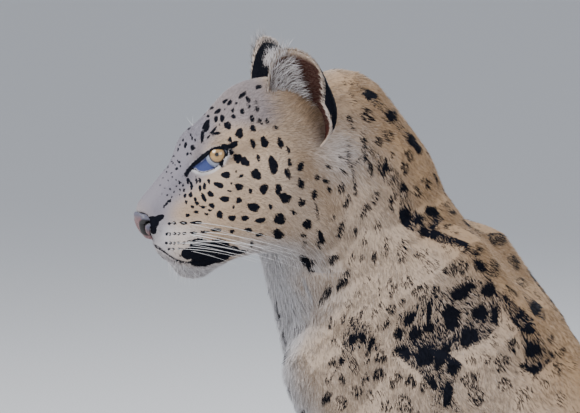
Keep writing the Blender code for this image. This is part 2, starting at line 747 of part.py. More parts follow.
# Where the skin is parted
FOREARM_CUT = limb(ELBOW + Vector((0.0, 0.004, -0.035)), WRIST + Vector((-0.03, -0.004, -0.12)), (0.056, 0.080), (0.054, 0.12))
WRIST_CUT = 0.082
FOOT_CUT = limb((0.325, -0.128, 0.012), (0.060, -0.128, 0.012), (0.060, 0.056), (0.056, 0.066))
FOOT_PAW_CUT = 0.165
THIGH_CUT = lump((0.240, -0.160, 0.190), (0.170, 0.100, 0.165), 20)
SHOULDER_CUT = lump((0.008, -0.150, 0.470), (0.120, 0.085, 0.185), -12)
TRUNK_CUTS = (
    ("neck", Vector((-0.020, 0.0, 0.612)), Vector((-0.35, 0.0, 0.93))),
    ("chest", Vector((0.085, 0.0, 0.450)), Vector((-0.7, 0.0, 0.71))),
    ("loin", Vector((0.235, 0.0, 0.290)), Vector((-0.8, 0.0, 0.60))),
)
NOSE_LEATHER = lump((0.238, 0.0, -0.073), (0.016, 0.022, 0.015), 40)
NOSTRIL = ((0.252, 0.0070, -0.082), (0.240, 0.0100, -0.0795), (0.230, 0.0165, -0.0735))
NOSTRIL_RADIUS = 0.0027
SPLIT_TOP = -0.089
TAIL_CUT, TAIL_CUT_NORMAL = tail_point(TAIL_SHARES[0])
MATERIALS = {
    "eye": (("eye_left", "eye_right"), (0.55, 0.35, 0.10), 0.1),
    "nose": (("nose",), (0.20, 0.13, 0.13), 0.5),
    "coat": ((), (0.62, 0.47, 0.30), 0.8),
}

build()
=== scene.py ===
"""Dresses a sitting leopard: one skin over its flesh, a spotted coat, eyes, nose, ears and whiskers."""

import math
from functools import lru_cache

import bmesh
import bpy
import numpy as np
from mathutils import Matrix, Vector
from mathutils.bvhtree import BVHTree


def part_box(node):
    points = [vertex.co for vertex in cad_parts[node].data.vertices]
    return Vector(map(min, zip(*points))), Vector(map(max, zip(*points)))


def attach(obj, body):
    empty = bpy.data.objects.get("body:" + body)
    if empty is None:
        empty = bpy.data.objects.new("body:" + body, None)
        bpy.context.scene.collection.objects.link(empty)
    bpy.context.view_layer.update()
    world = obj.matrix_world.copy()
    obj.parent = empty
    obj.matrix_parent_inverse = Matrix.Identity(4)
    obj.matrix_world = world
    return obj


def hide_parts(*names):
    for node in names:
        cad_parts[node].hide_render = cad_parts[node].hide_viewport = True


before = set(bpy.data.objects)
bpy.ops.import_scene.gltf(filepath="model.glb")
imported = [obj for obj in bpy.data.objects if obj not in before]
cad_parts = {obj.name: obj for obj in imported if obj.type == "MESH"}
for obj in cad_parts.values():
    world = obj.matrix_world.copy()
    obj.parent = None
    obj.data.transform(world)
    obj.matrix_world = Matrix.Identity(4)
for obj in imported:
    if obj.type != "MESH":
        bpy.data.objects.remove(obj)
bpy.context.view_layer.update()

bl_info = {
    "name": "Sitting Leopard",
    "version": (1, 0, 0),
    "blender": (4, 5, 0),
    "location": "3D View > Sidebar > Leopard",
    "description": "Skin, coat, eyes, nose, ears and whiskers of a life-size sitting leopard",
    "category": "Object",
}

# Landmarks of the head in its own frame: forward, left and up from the nape
HEAD_TURN_DEG = 212.0
EYE = Vector((0.1575, 0.0300, 0.0085))
EYE_RADIUS = 0.0165
OPENING_FACING = Vector((0.66, 0.745, 0.05)).normalized()
OPENING_SLANT = Vector((-0.62, 0.50, 0.60)).normalized()
EARS = {
    "left": (Vector((0.064, 0.065, 0.050)), Vector((0.28, 0.21, 0.93)).normalized(), Vector((0.72, 0.69, 0.0))),
    "right": (Vector((0.060, -0.062, 0.053)), Vector((0.12, -0.26, 0.96)).normalized(), Vector((0.64, -0.77, 0.0))),
}
SIDES = ("left", "right")

# The ears as sheets bent into a cup: round the cup runs from -1 in front to 1 behind
EAR_HEIGHT = 0.086
EAR_HALF_WIDTH = 0.047
EAR_DEPTH = 0.036
EAR_TURN_DEG = (16.0, 96.0)
EAR_PEAK = -0.30
EAR_ARCH = 0.72
EAR_WIDEST = 0.55
EAR_WALL = 0.0024
EAR_SUNK = 0.030

# The head's place in the body's own frame, in which the guides below are given
HEAD_IN_BODY = Vector((-0.065, -0.045, 0.732))

FLESH = [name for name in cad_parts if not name.startswith(("ear", "eye", "nose"))]

# Middles of paler and greyer places on the head: the nape behind the ear, and the side of the nose; the grey is partly
# painted bluish sheen of the light
NAPE_PALE = (0.020, 0.075, 0.010)
GREY_AND_SHEEN_STREAK = (0.180, 0.034, 0.004)

# The opening between the lids of the left eye, by the photo's pixels, from the outer corner round the top
OPENING_PIXELS = (
    (225, 150.2),
    (220, 149.2),
    (213.5, 149.4),
    (210.5, 151.8),
    (207.6, 155.0),
    (203.8, 157.5),
    (198.8, 162.5),
    (194.4, 166.0),
    (193.8, 167.8),
    (198.8, 171.3),
    (203.8, 171.9),
    (210, 170),
    (216.3, 165.6),
    (221.9, 159.4),
    (225, 152.5),
)
OPENING_STANDS = 0.0155

# The line of the mouth as (forward, up), from its corner to where it turns round the muzzle
MOUTH_LINE = ((0.130, -0.104), (0.148, -0.108), (0.166, -0.112), (0.182, -0.1155), (0.195, -0.118))
MOUTH_FRONT_UP = -0.101
SPLIT_TOP = -0.089

# The nose leather: share of the way down, height and half width, then how many cells it has round and down
LEATHER = ((0.0, -0.0600, 0.0170), (0.25, -0.0655, 0.0195), (0.5, -0.0730, 0.0190), (0.75, -0.0815, 0.0130), (0.9, -0.0870, 0.0065), (1.0, -0.0915, 0.0030))
LEATHER_CELLS = (72, 56)
LEATHER_MIDDLE = (0.242, 0.0, -0.075)
NOSTRIL_LINE = ((0.0055, -0.0845, 0.0), (0.0085, -0.0800, 0.0), (0.0125, -0.0730, 0.0), (0.0175, -0.0700, 0.0))
LEATHER_RIM = (0.10, 0.10, 0.14)
# Near black painted into the nostrils as shade inside the holes
NOSTRIL_SHADE_BLACK = (0.004, 0.004, 0.006)

# Where along a tuft its colour is read, and how its tone rises from root to tip: painted shade darkens the root, and
# the tip is paler
SHOWN_SHARE = 0.7
SHORT_COAT = 0.0092
LONG_COAT = 0.012
ROOT_SHADE_TO_TIP = (-0.9, -0.15, 0.30)

# The lie of the coat on the head: place, direction and length in millimetres, in the head's frame
HEAD_LIE = (
    ((0.250, 0.000, -0.056), (-0.80, 0.00, 0.60), 2.2),
    ((0.205, 0.000, -0.022), (-0.78, 0.00, 0.62), 3.5),
    ((0.165, 0.000, 0.040), (-0.75, 0.00, 0.65), 6.0),
    ((0.100, 0.000, 0.096), (-1.00, 0.00, 0.10), 6.5),
    ((0.030, 0.000, 0.090), (-0.90, 0.00, -0.40), 13.0),
    ((0.155, 0.036, 0.034), (-0.80, 0.35, 0.45), 6.5),
    ((0.165, 0.050, -0.020), (-0.85, 0.35, -0.40), 4.5),
    ((0.192, 0.020, -0.010), (-0.88, 0.30, 0.15), 3.0),
    ((0.120, 0.072, -0.030), (-0.95, 0.12, -0.30), 6.5),
    ((0.100, 0.070, 0.020), (-0.98, 0.18, 0.05), 6.5),
    ((0.055, 0.086, -0.030), (-0.75, 0.25, -0.60), 11.0),
    ((0.218, 0.036, -0.085), (-0.86, 0.40, -0.32), 4.0),
    ((0.242, 0.012, -0.100), (-0.30, 0.55, -0.78), 3.5),
    ((0.165, 0.055, -0.085), (-0.94, 0.15, -0.30), 6.0),
    ((0.145, 0.058, -0.105), (-0.90, 0.12, -0.42), 6.0),
    ((0.218, 0.000, -0.136), (-0.35, 0.00, -0.94), 8.0),
    ((0.180, 0.020, -0.142), (-0.90, 0.10, -0.42), 11.0),
    ((0.120, 0.050, -0.112), (-0.90, 0.15, -0.40), 12.0),
    ((0.098, 0.064, 0.056), (-0.90, 0.30, 0.30), 9.0),
    ((0.085, 0.080, 0.060), (-0.55, 0.45, 0.70), 11.0),
    ((0.060, 0.000, -0.120), (-0.50, 0.00, -0.86), 20.0),
)

# The same for the body, in the body's own frame; its left side is at negative y
BODY_LIE = (
    ((-0.020, -0.010, 0.800), (0.80, 0.02, -0.60), 10.0),
    ((0.060, 0.000, 0.700), (0.55, 0.00, -0.83), 12.0),
    ((0.100, -0.050, 0.610), (0.60, 0.00, -0.80), 11.0),
    ((0.190, 0.000, 0.470), (0.55, 0.00, -0.83), 11.0),
    ((0.280, 0.000, 0.340), (0.55, 0.00, -0.83), 12.0),
    ((0.380, 0.000, 0.200), (0.40, 0.00, -0.92), 13.0),
    ((0.430, 0.000, 0.100), (0.50, 0.00, -0.86), 19.0),
    ((-0.050, -0.110, 0.680), (0.30, 0.00, -0.95), 13.0),
    ((-0.040, -0.110, 0.590), (0.20, 0.00, -0.98), 12.0),
    ((-0.140, -0.060, 0.640), (0.05, 0.00, -1.00), 24.0),
    ((-0.160, -0.010, 0.530), (0.02, 0.00, -1.00), 25.0),
    ((-0.120, 0.000, 0.400), (0.10, 0.00, -1.00), 26.0),
    ((0.000, -0.130, 0.510), (0.18, 0.00, -0.98), 10.0),
    ((-0.030, -0.120, 0.400), (0.02, 0.00, -1.00), 9.5),
    ((-0.060, -0.100, 0.260), (-0.12, 0.00, -1.00), 9.0),
    ((-0.085, -0.090, 0.130), (-0.18, 0.00, -1.00), 7.0),
    ((0.010, -0.080, 0.270), (-0.10, 0.00, -1.00), 12.0),
    ((-0.120, -0.070, 0.055), (-0.95, 0.00, -0.25), 5.5),
    ((-0.155, -0.070, 0.030), (-0.90, 0.00, -0.40), 5.0),
    ((0.110, -0.120, 0.420), (0.45, 0.00, -0.90), 12.0),
    ((0.200, -0.120, 0.310), (0.40, 0.00, -0.92), 12.0),
    ((0.020, 0.000, 0.350), (0.50, 0.00, -0.86), 24.0),
    ((0.120, 0.000, 0.210), (0.50, 0.00, -0.86), 26.0),
    ((0.250, -0.160, 0.240), (-0.30, 0.00, -0.95), 11.0),
    ((0.150, -0.160, 0.210), (-0.30, 0.00, -0.95), 13.0),
    ((0.360, -0.120, 0.160), (0.05, 0.00, -1.00), 12.0),
    ((0.230, -0.130, 0.110), (0.60, 0.00, -0.80), 12.0),
    ((0.240, -0.130, 0.040), (-0.98, 0.00, -0.15), 8.0),
    ((0.090, -0.130, 0.040), (-0.97, 0.00, -0.22), 5.5),
    ((0.060, -0.130, 0.022), (-0.90, 0.00, -0.40), 5.0),
)

# The tail's middle line, in the body's frame, from its root to its tip
TAIL_PATH = (
    (0.385, -0.005, 0.060),
    (0.455, -0.040, 0.034),
    (0.480, -0.115, 0.027),
    (0.445, -0.190, 0.026),
    (0.365, -0.232, 0.025),
    (0.265, -0.246, 0.024),
    (0.165, -0.244, 0.023),
    (0.072, -0.226, 0.022),
    (-0.005, -0.190, 0.021),
    (-0.055, -0.150, 0.020),
)
TAIL_COAT = (17.0, 23.0)

# The photo's camera: it looks at the head from the leopard's left, and its frame is this wide at the head
CAMERA_AZIMUTH_DEG = 15.0
CAMERA_ELEVATION_DEG = 5.0
CAMERA_DISTANCE = 8.0
PHOTO_WIDTH_M = 0.696
PHOTO_PIXELS = (580, 413)
SENSOR_MM = 36.0
CAMERA_AIM_RIGHT = -0.132
CAMERA_AIM_UP = 0.6702

# Spots that the photo shows, by its pixels: centre right and down, half width, half height, turn in degrees
HEAD_SPOTS = (
    (242.5, 95, 4.5, 2.2, -45), (248.1, 99.4, 1.9, 3.4, -20), (225, 101.2, 3.2, 1.6, -45),
    (229.8, 102.5, 2, 2.8, 30), (236.3, 103.1, 1.2, 1.7, 0), (211.9, 108.1, 2.4, 1.2, -20),
    (217.5, 111.3, 4.2, 1.7, -35), (224.8, 109.4, .8, .8, 0), (232.8, 110.4, 1.5, 2.3, 0),
    (242.3, 111.5, 2.4, 2.6, 0), (249.4, 106.3, 1.2, 2.6, -20), (256.3, 101.9, 1, 2, 0),
    (257.3, 108.8, 2, 2.6, -20), (208, 116, 1.4, 1.6, 0), (216, 119, 1.8, 3.6, 0), (222.3, 118.1, 2.4, 3.4, 0),
    (233.5, 116.5, 1.8, 2.5, -15), (252.3, 118.8, 2.2, 3.6, -15), (260.6, 121.5, 1.8, 3.6, -25),
    (267.3, 121.3, 1.5, 3, -30), (276.3, 127.5, 1.4, 2.6, -40), (227.8, 125.6, 3.2, 4, -10),
    (219.4, 124.4, .8, .9, 0), (253.1, 128.1, 2.5, 3.5, -15), (206.3, 125.6, 3, 6.5, 25),
    (202.3, 136.3, 1.9, 5.2, 5), (213.5, 130.5, 4.6, 1.4, -50), (216.3, 133.4, 4, 1.5, -12),
    (208.8, 136.5, 2.4, .8, -50), (239.4, 133.4, 3.8, 4.8, 25), (230, 139.6, 1.7, 3, 0),
    (233.1, 144.8, 5.8, 2.8, -20), (231.5, 151.9, 2.3, 2.8, -10), (226.5, 154.4, 1.3, 2.2, 0),
    (221.5, 163.1, 2.2, 3.1, 20), (253.1, 143.8, 2.3, 5, -10), (264.4, 142.1, 3.7, 5.5, -5),
    (280.6, 143.1, 2.6, 5.8, -20), (288.5, 149.8, 1.4, 3.4, -25), (238, 158.5, 4.0, 4.6, 10),
    (245, 162, 4.4, 4.0, 15), (258.5, 157.9, 1.8, 3.4, -15), (273.1, 165, 4, 9.6, -17),
    (289.8, 162.8, 1.8, 4.2, -12), (287.9, 173.5, 2.6, 6, -15), (256.3, 174.4, 4.6, 5.4, -25),
    (225.6, 174.8, 5.2, 2.9, -5), (241, 176, 2.5, 1.5, -15), (236, 171.5, 1, 1.1, 0),
    (218.8, 185, 4.8, 2.8, 20), (239, 186.9, 3.7, 3.6, 0), (231.5, 183.4, 1.2, 1, 0), (229.8, 191, 1.8, 1.2, 0),
    (250.6, 191, 2.1, 2.5, 0), (264, 189, 4.1, 5, -5), (278.5, 189.4, 3.1, 5.3, -5),
    (285.4, 198.1, 5.4, 5.2, 0), (210.4, 194, 3.4, 2.6, 25), (224.6, 199, 5.3, 2.6, 3),
    (239, 200.3, 2.8, 2.7, 15), (203.8, 197.5, 1.8, 5.2, -30), (211.9, 205.6, 2.9, 2.5, 20),
    (203.1, 207.1, 2.8, 1.4, 10), (233.5, 206.9, 1.1, 1.8, 0), (253.8, 207.3, 6, 4.2, 30),
    (270.6, 206.6, 2.2, 2.2, 0), (209.8, 210.3, 1.8, 1.2, 0), (196.3, 211.9, 2.5, 1.5, 0),
    (219.4, 213.8, 2.6, 3.2, 0), (208.8, 181.3, 1.4, 2.4, -20), (204.4, 186.3, 1.6, 3.4, 0),
    (200, 180.3, 1.3, 2.2, 0), (200, 188.1, 1.4, 3.1, 0), (196.3, 180.6, .9, 3.4, 0),
    (191.5, 186.3, 1.3, 4.7, 0), (187.9, 180.6, 1.4, 2.8, 0), (190.6, 195, 1.8, 2.8, 0),
    (185, 195.6, 1.4, 2.2, 0), (183, 185, .9, 1.8, 0), (184, 190.6, 1, 2, 0), (179.4, 182.5, 1, 1.6, 0),
    (186.3, 201.9, 1.6, 1.6, 0), (195.4, 199.4, 1.5, 2.2, 0), (196.9, 203.4, 2.5, 1.6, 20),
    (192.5, 206.9, 2.2, 1.3, 15), (179.4, 195, .8, .9, 0), (176.3, 186, .8, .9, 0), (180, 190, .8, 1, 0),
    (175.9, 180, .8, .8, 0), (183.1, 176.3, .9, 1.2, 0), (186.3, 175.6, 1, 2, 0), (179.4, 162.3, 1.1, 1.3, 0),
    (176.5, 168.8, 1.4, 1.6, 0), (177.8, 160, .7, .8, 0), (180.6, 166.3, .8, .9, 0), (185.4, 145, 1.5, 3, 10),
    (192.5, 147.5, 2.2, 2.6, 30), (187.5, 154, 1.1, 1.6, 15), (191, 153.8, .8, 1.3, 0),
    (190.6, 134.4, 1, 1.2, 0), (191.9, 138, .8, 2, 0), (195, 140, .8, 1.6, 0), (178, 149.4, .8, 1.8, 0),
    (169.4, 201, 1.5, 1.8, 20), (166.5, 203.8, 1.2, 1.5, 0), (164, 206.5, 1.1, 1.1, 0),
    (187.9, 215.3, 2.4, 1.5, 0), (206.4, 214.3, 1.8, 1.5, 0), (220, 215, 3, 3.4, 0), (232.1, 218.1, 3.6, 3, 0),
    (245, 218.3, 3.6, 2.8, 0), (260.7, 220.3, 5.2, 2.6, -15), (280, 219.3, 6, 5, 0), (232, 231.4, 2.4, 1.6, 0),
    (248.6, 230, 4, 2, 0), (259.3, 235, 4.5, 1.6, -15), (278.6, 234.6, 5, 5, 0), (252, 244.3, 2, 3, 0),
    (301, 166.5, 3.4, 4.6, 20), (301, 184, 3, 5.5, -5), (317, 178, 2.6, 2.8, 0), (326, 181.5, 4.4, 2.0, 20),
    (328.5, 167, 2.8, 2, 30), (258.6, 87, 3, 2.4, -30), (307.5, 224.5, 4.2, 5.4, -25),
    (302, 202.5, 3.4, 4.4, -10), (294, 213, 2, 2, 0), (314.5, 195, 2.4, 5.8, 0), (317.5, 212, 1.0, 9, -8),
    (341, 157.5, 1.4, 1.6, 0), (345, 172.5, 2.4, 3.4, -40), (268, 76, 1.8, 3.4, 40), (275, 79, 1.6, 3, 50),
    (320.5, 240, 3.6, 8.8, -5), (307, 262, 4.0, 9.5, -35), (304, 236, 2.6, 2.2, 20), (313, 263, 3.2, 3, 0),
    (169.3, 223.6, 1.6, 1.4, 0), (174.3, 222.9, 2, 1.5, 0), (183.6, 222.9, 3.6, 1.7, 0),
    (196.4, 222.6, 6.5, 1.5, 0), (166.7, 234, 1.4, 1.4, 0), (170, 234, 1.3, 1.3, 0),
    (174.3, 233.8, 1.5, 1.4, 0), (178.6, 233.6, 1.6, 1.5, 0), (184.3, 233.4, 1.7, 1.5, 0),
    (193.6, 232.9, 4, 1.2, 0), (205, 232, 4, 1.3, 0), (216.4, 230, 5, 1.9, 0), (166.4, 243, 1.3, 1.2, 0),
    (170.4, 243, 1.4, 1.3, 0), (174.3, 243, 1.4, 1.3, 0), (178.6, 243, 1.4, 1.3, 0),
    (183.6, 243.1, 1.7, 1.3, 0), (189.3, 241.7, 2.4, 1.4, 0), (196.4, 240.7, 5, 1.4, 0),
    (169, 249, 1.2, 1.1, 0), (173.3, 249, 1.2, 1.1, 0), (179, 249, 1.3, 1.1, 0), (182, 249, 1.2, 1.1, 0),
    (180, 255.7, 1.1, 1, 0), (175.7, 261.7, 1, .9, 0), (180.4, 262.9, 1, .9, 0), (171, 160, .7, .8, 0),
    (168, 166, .7, .8, 0), (173, 163, .6, .9, 0), (166.5, 172, .7, .8, 0), (171.5, 173, .8, .8, 0),
    (175, 164.5, .7, .8, 0), (163, 178, .7, .7, 0), (168, 181, .7, .9, 0), (172, 177, .7, .7, 0),
    (160, 185, .7, .7, 0), (165, 188, .8, .8, 0), (170, 189, .7, .8, 0), (174, 192, .7, .9, 0),
    (162, 194, .7, .7, 0), (167, 195, .8, .8, 0), (172, 197, .7, .7, 0), (183, 140, .9, 1.6, 15),
    (180, 145, .7, 1.2, 0), (174, 156, .7, 1, 0), (196, 122, 1.2, 1.8, 20), (200, 118, 1.2, 2.4, 30),
    (189, 129, 1, 1.6, 15),
)

# The necklaces, neck spots and shoulder blotches that the photo shows, read the same way
NECK_SPOTS = (
    (347, 80.5, 5.2, 4.4, 15), (353, 100, 2.4, 7.0, -18), (350, 118, 2.2, 5.0, -10), (353, 126, 1.6, 5.0, -5),
    (371, 95, 7.0, 5.2, 5), (368.5, 116.5, 6.0, 7.0, -10), (392, 116, 6.2, 6.0, 35), (389, 136, 5.6, 5.6, 40),
    (379, 142, 4.2, 4.6, 0), (364, 140, 2.6, 5.4, 0), (366, 155, 1.3, 8.0, 0), (371, 172, 2.6, 7.0, -10),
    (385.5, 167, 3.0, 9.6, 5), (392, 158, 2.8, 4.4, 20), (412, 140, 5.6, 6.4, -35), (418, 149, 3.0, 7.0, -30),
    (410, 156, 3.8, 7.0, -20), (405, 169, 3.6, 7.0, -5), (404, 189, 4.2, 4.4, 0), (417, 192, 5.4, 5.6, 35),
    (427, 185, 4.0, 6.6, -15), (393, 202, 3.8, 8.8, 5), (376, 198, 3.0, 8.0, 22), (366, 212, 3.6, 9.0, 32),
    (378, 228, 3.4, 5.4, 5), (405, 217, 5.0, 9.0, 8), (418, 220, 4.2, 4.6, 0), (433, 212, 8.0, 4.8, 15),
    (424, 233.5, 4.6, 5.6, 10), (435, 232, 4.8, 6.0, 20), (454, 229, 8.4, 4.0, 8), (468, 231, 3.6, 6.0, -40),
    (387, 248, 4.4, 10.5, 14), (403, 252, 4.8, 13.0, 14), (422, 255, 8.2, 4.6, -35), (448, 249.5, 6.4, 5.0, 5),
    (464, 248, 6.2, 5.4, 20), (432, 266, 8.6, 5.6, -32), (457, 270, 12.0, 7.4, -20), (481, 267, 7.6, 5.6, 30),
    (463, 292.5, 12.6, 6.8, -25), (489, 291, 6.8, 7.4, 5), (479, 252, 4.6, 5.0, 30), (408, 283, 6.6, 6.4, -30),
    (421, 293, 6.6, 9.4, 35), (436, 291, 5.8, 4.0, -40), (429, 313, 2.8, 11.0, 5), (452, 318, 9.0, 12.0, 10),
    (480, 314, 7.0, 8.4, 5), (497, 316, 6.4, 8.6, 0), (512, 325, 5.0, 6.6, 0), (429, 328, 5.6, 5.6, 0),
    (416, 334.5, 7.0, 6.0, 10), (410, 319.5, 4.8, 8.4, 25), (469, 338, 9.0, 10.0, 10), (492, 340, 7.4, 6.8, 5),
    (513, 347, 5.0, 9.0, -25), (401, 355.5, 7.4, 10.0, 22), (425, 357, 8.4, 11.0, 28), (442, 357.5, 6.0, 12.0, 22),
    (454, 368, 5.6, 9.4, 15), (472, 361, 5.6, 7.4, 15), (486, 359, 5.0, 6.6, 15), (503, 364, 9.0, 7.4, -15),
    (523, 370, 5.4, 6.0, 0), (534, 374, 5.0, 8.0, 15), (395, 381, 6.0, 8.0, 30), (411, 382, 7.0, 6.0, 10),
    (425, 385, 4.6, 8.0, 15), (433, 384, 3.6, 6.4, 10), (448, 395, 5.0, 12.0, 5), (470, 380, 9.0, 7.0, -20),
    (476, 397, 9.0, 10.0, 30), (505, 385, 8.0, 6.0, -15), (523, 398, 8.0, 11.0, 20),
    (341, 231, 3.4, 8.0, 12), (355, 234, 2.4, 5.0, 5), (365.5, 239, 2.6, 8.0, 15), (334, 262, 3.0, 9.4, 22),
    (351.5, 259, 3.2, 5.6, 10), (361.5, 260, 2.8, 5.0, 10), (374.5, 258, 2.4, 7.4, 8), (344, 281.5, 4.0, 12.6, 34),
    (368.5, 281.5, 3.0, 4.8, 10), (379.5, 288, 1.8, 9.0, 3), (390, 285, 3.4, 5.6, 25), (394, 292, 2.6, 8.0, 35),
    (326, 297, 2.6, 12.0, 34), (358, 295.5, 2.2, 3.6, 20), (349, 305, 3.0, 4.6, 25), (332, 324, 3.4, 6.4, 20),
    (343, 320, 2.6, 4.6, 20), (361, 315, 3.2, 8.6, 28), (374.5, 314, 2.4, 6.6, 20), (381.5, 307, 2.8, 5.6, 20),
    (391.5, 310.5, 5.6, 4.6, -35), (403, 303, 3.0, 4.6, 25), (351, 320, 2.0, 4.0, 20), (386.5, 326, 3.4, 6.0, 25),
    (379, 331, 2.6, 4.0, 20), (398, 335, 4.8, 6.4, 30), (371.5, 344, 3.2, 6.4, 20), (362, 338, 4.6, 5.2, -30),
    (353.5, 340, 4.4, 6.0, 20), (335, 341, 2.6, 4.0, 10), (341, 348, 3.4, 6.6, 25), (368, 358, 3.4, 7.0, 25),
    (381, 358.5, 6.6, 5.4, -30), (354.5, 367, 4.2, 9.0, -10), (342, 362, 2.4, 3.6, 0), (333, 363, 3.6, 6.0, 20),
    (329, 381, 3.4, 5.0, 20), (342, 380, 3.4, 5.0, -15), (366, 381, 3.4, 6.0, 20), (380, 376, 6.0, 6.0, 35),
    (357, 393, 6.4, 6.0, -30), (376, 396, 8.0, 6.4, -25), (341, 404, 6.0, 8.0, 20), (327, 399, 4.0, 7.0, 20),
    (404, 405, 8.4, 9.0, 25), (386, 408, 8.0, 6.0, -20), (354, 176, 1.6, 12.0, -8), (349, 155, 1.3, 14.0, 3),
    (342, 190, 3.4, 5.4, 0), (347, 203, 2.8, 8.4, 22), (356, 190, 1.8, 6.0, 8), (329, 190, 2.2, 2.6, 0),
    (305, 244, 1.3, 3.0, 20), (334, 218, 1.6, 3.0, 40), (436, 181, 1.6, 8.0, -20), (442, 186, 2.6, 5.6, -35),
    (446, 205, 4.0, 4.0, -30), (452, 213, 4.4, 3.4, -30), (475, 226, 5.4, 9.0, -20), (497, 240, 9.0, 8.0, 10),
    (494, 269, 7.0, 8.0, -40), (514, 264, 6.6, 8.0, -10), (510, 294, 8.0, 8.0, -20), (523, 284, 7.4, 7.0, 0),
    (535, 309, 8.0, 6.6, -20), (538, 297, 2.4, 7.0, -15), (523, 314, 6.0, 3.4, -20), (528, 330, 7.0, 5.0, -30),
    (533, 351, 8.4, 7.0, 10), (558, 354, 8.0, 6.0, -20), (552, 341, 5.0, 4.0, 0), (556, 370, 9.0, 7.0, -15),
    (572, 366, 6.0, 4.0, 0), (560, 400, 6.0, 6.0, 0), (545, 385, 6.0, 5.0, 20), (416, 97, 3.0, 2.0, 0),
)

# Filled black at the corner of the mouth, painted shade over the nostril openings, and the streak from the eye to the
# nose, as pixels and half widths
MOUTH_PATCH = ((204, 261, 14, 6, -6), (188, 254, 7, 6, 0), (203, 254, 13, 12.5, -5), (219, 252, 13, 13.5, -8), (232, 251.5, 8, 6, 0), (240, 252, 7, 2.6, 0))
NOSTRIL_SHADE_PATCH = ((152, 222.5, 6.5, 6.5, 0), (159, 218, 6.0, 3.0, -25), (153.5, 230, 3.2, 5.0, 8))
TEAR_STREAK = ((208.6, 152.0), (203.0, 156.5), (197.5, 161.5), (192.5, 166.0), (188.5, 170.5), (186.0, 174.5))
OUTER_CORNER = ((223.5, 146.5), (227.5, 147.5), (231.5, 146.0))

# Where the whiskers grow on the muzzle, by pixel, each with its length in millimetres
WHISKER_ROOTS = (
    (174.3, 222.9, 62), (183.6, 222.9, 84), (196.4, 222.6, 96),
    (170, 234, 52), (174.3, 233.8, 70), (178.6, 233.6, 92), (184.3, 233.4, 112), (193.6, 232.9, 128), (205, 232, 120),
    (170.4, 243, 50), (174.3, 243, 72), (178.6, 243, 92), (183.6, 243.1, 110), (189.3, 241.7, 122), (196.4, 240.7, 118),
    (173.3, 249, 48), (179, 249, 66), (182, 249, 84), (189, 247, 92),
)
WHISKER_WAY = (-0.84, 0.52, 0.02)
BROW_ROOTS = ((208, 109, 50), (198, 120, 62), (197, 121.5, 38), (193, 126, 18), (201, 116, 44))
BROW_WAY = (0.30, 0.42, 0.86)
CHIN_ROOTS = (
    (170, 262, 14), (174, 265, 16), (178, 268, 18), (182, 270, 16), (186, 272, 18),
    (190, 274, 16), (195, 272, 18), (200, 270, 16), (176, 260, 12), (184, 264, 14),
)
CHIN_WAY = (0.15, 0.25, -0.95)


class CoatSizes(bpy.types.PropertyGroup):
    """How fine the skin is and how dense the coat stands."""

    skin_voxel: bpy.props.FloatProperty(name="Skin cell", description="Cell size that the skin is meshed with", default=0.0021, unit="LENGTH")
    skin_triangles: bpy.props.IntProperty(name="Skin triangles", description="How many triangles the skin keeps", default=135000)
    head_spacing: bpy.props.FloatProperty(name="Head spacing", description="Distance between tufts on the face", default=0.00140, unit="LENGTH")
    neck_spacing: bpy.props.FloatProperty(name="Neck spacing", description="Distance between tufts on neck and chest", default=0.0017, unit="LENGTH")
    body_spacing: bpy.props.FloatProperty(name="Body spacing", description="Distance between tufts elsewhere", default=0.0025, unit="LENGTH")


class CoatColours(bpy.types.PropertyGroup):
    """The colours of skin, coat, eyes and nose."""

    tan: bpy.props.FloatVectorProperty(name="Tan", description="Ground colour of the flanks", subtype="COLOR", default=(0.56, 0.435, 0.335))
    warm: bpy.props.FloatVectorProperty(name="Ochre", description="Warmer colour along the back", subtype="COLOR", default=(0.48, 0.315, 0.180))
    pale: bpy.props.FloatVectorProperty(name="Pale", description="Colour of chin, chest and belly", subtype="COLOR", default=(0.70, 0.69, 0.72))
    black: bpy.props.FloatVectorProperty(name="Black", description="Colour of spots", subtype="COLOR", default=(0.003, 0.004, 0.009))
    # The coat's grey-brown of bridge and forehead, with painted bluish sheen of the light mixed in
    grey_and_sheen: bpy.props.FloatVectorProperty(name="Grey and sheen", description="Bluish grey of the bridge and forehead", subtype="COLOR", default=(0.29, 0.275, 0.32))
    # The third lid's dark colour with a painted bluish reflection on its wet surface
    third_lid_reflection: bpy.props.FloatVectorProperty(name="Third lid", description="Wet blue of the eye's inner corner", subtype="COLOR", default=(0.055, 0.075, 0.20))
    ear: bpy.props.FloatVectorProperty(name="Inner ear", description="Red-brown inside of the ears", subtype="COLOR", default=(0.065, 0.022, 0.018))
    iris: bpy.props.FloatVectorProperty(name="Iris", description="Colour of the iris", subtype="COLOR", default=(0.42, 0.25, 0.09))
    nose: bpy.props.FloatVectorProperty(name="Nose", description="Colour of the nose leather", subtype="COLOR", default=(0.16, 0.085, 0.09))


class StageSizes(bpy.types.PropertyGroup):
    """The floor and the lights."""

    floor: bpy.props.FloatVectorProperty(name="Floor", description="Colour of the floor", subtype="COLOR", default=(0.62, 0.62, 0.62))
    key_power: bpy.props.FloatProperty(name="Key light", description="Power of the main light", default=260.0, unit="POWER")
    fill_power: bpy.props.FloatProperty(name="Fill light", description="Power of the fill light", default=110.0, unit="POWER")


def coat_sizes():
    return bpy.context.scene.leopard_coat


def colours():
    return bpy.context.scene.leopard_colours


def finished(bm, name):
    """Turns a bmesh into an object of the given name."""
    mesh = bpy.data.meshes.new(name)
    bm.to_mesh(mesh)
    bm.free()
    shape = bpy.data.objects.new(name, mesh)
    bpy.context.scene.collection.objects.link(shape)
    return shape


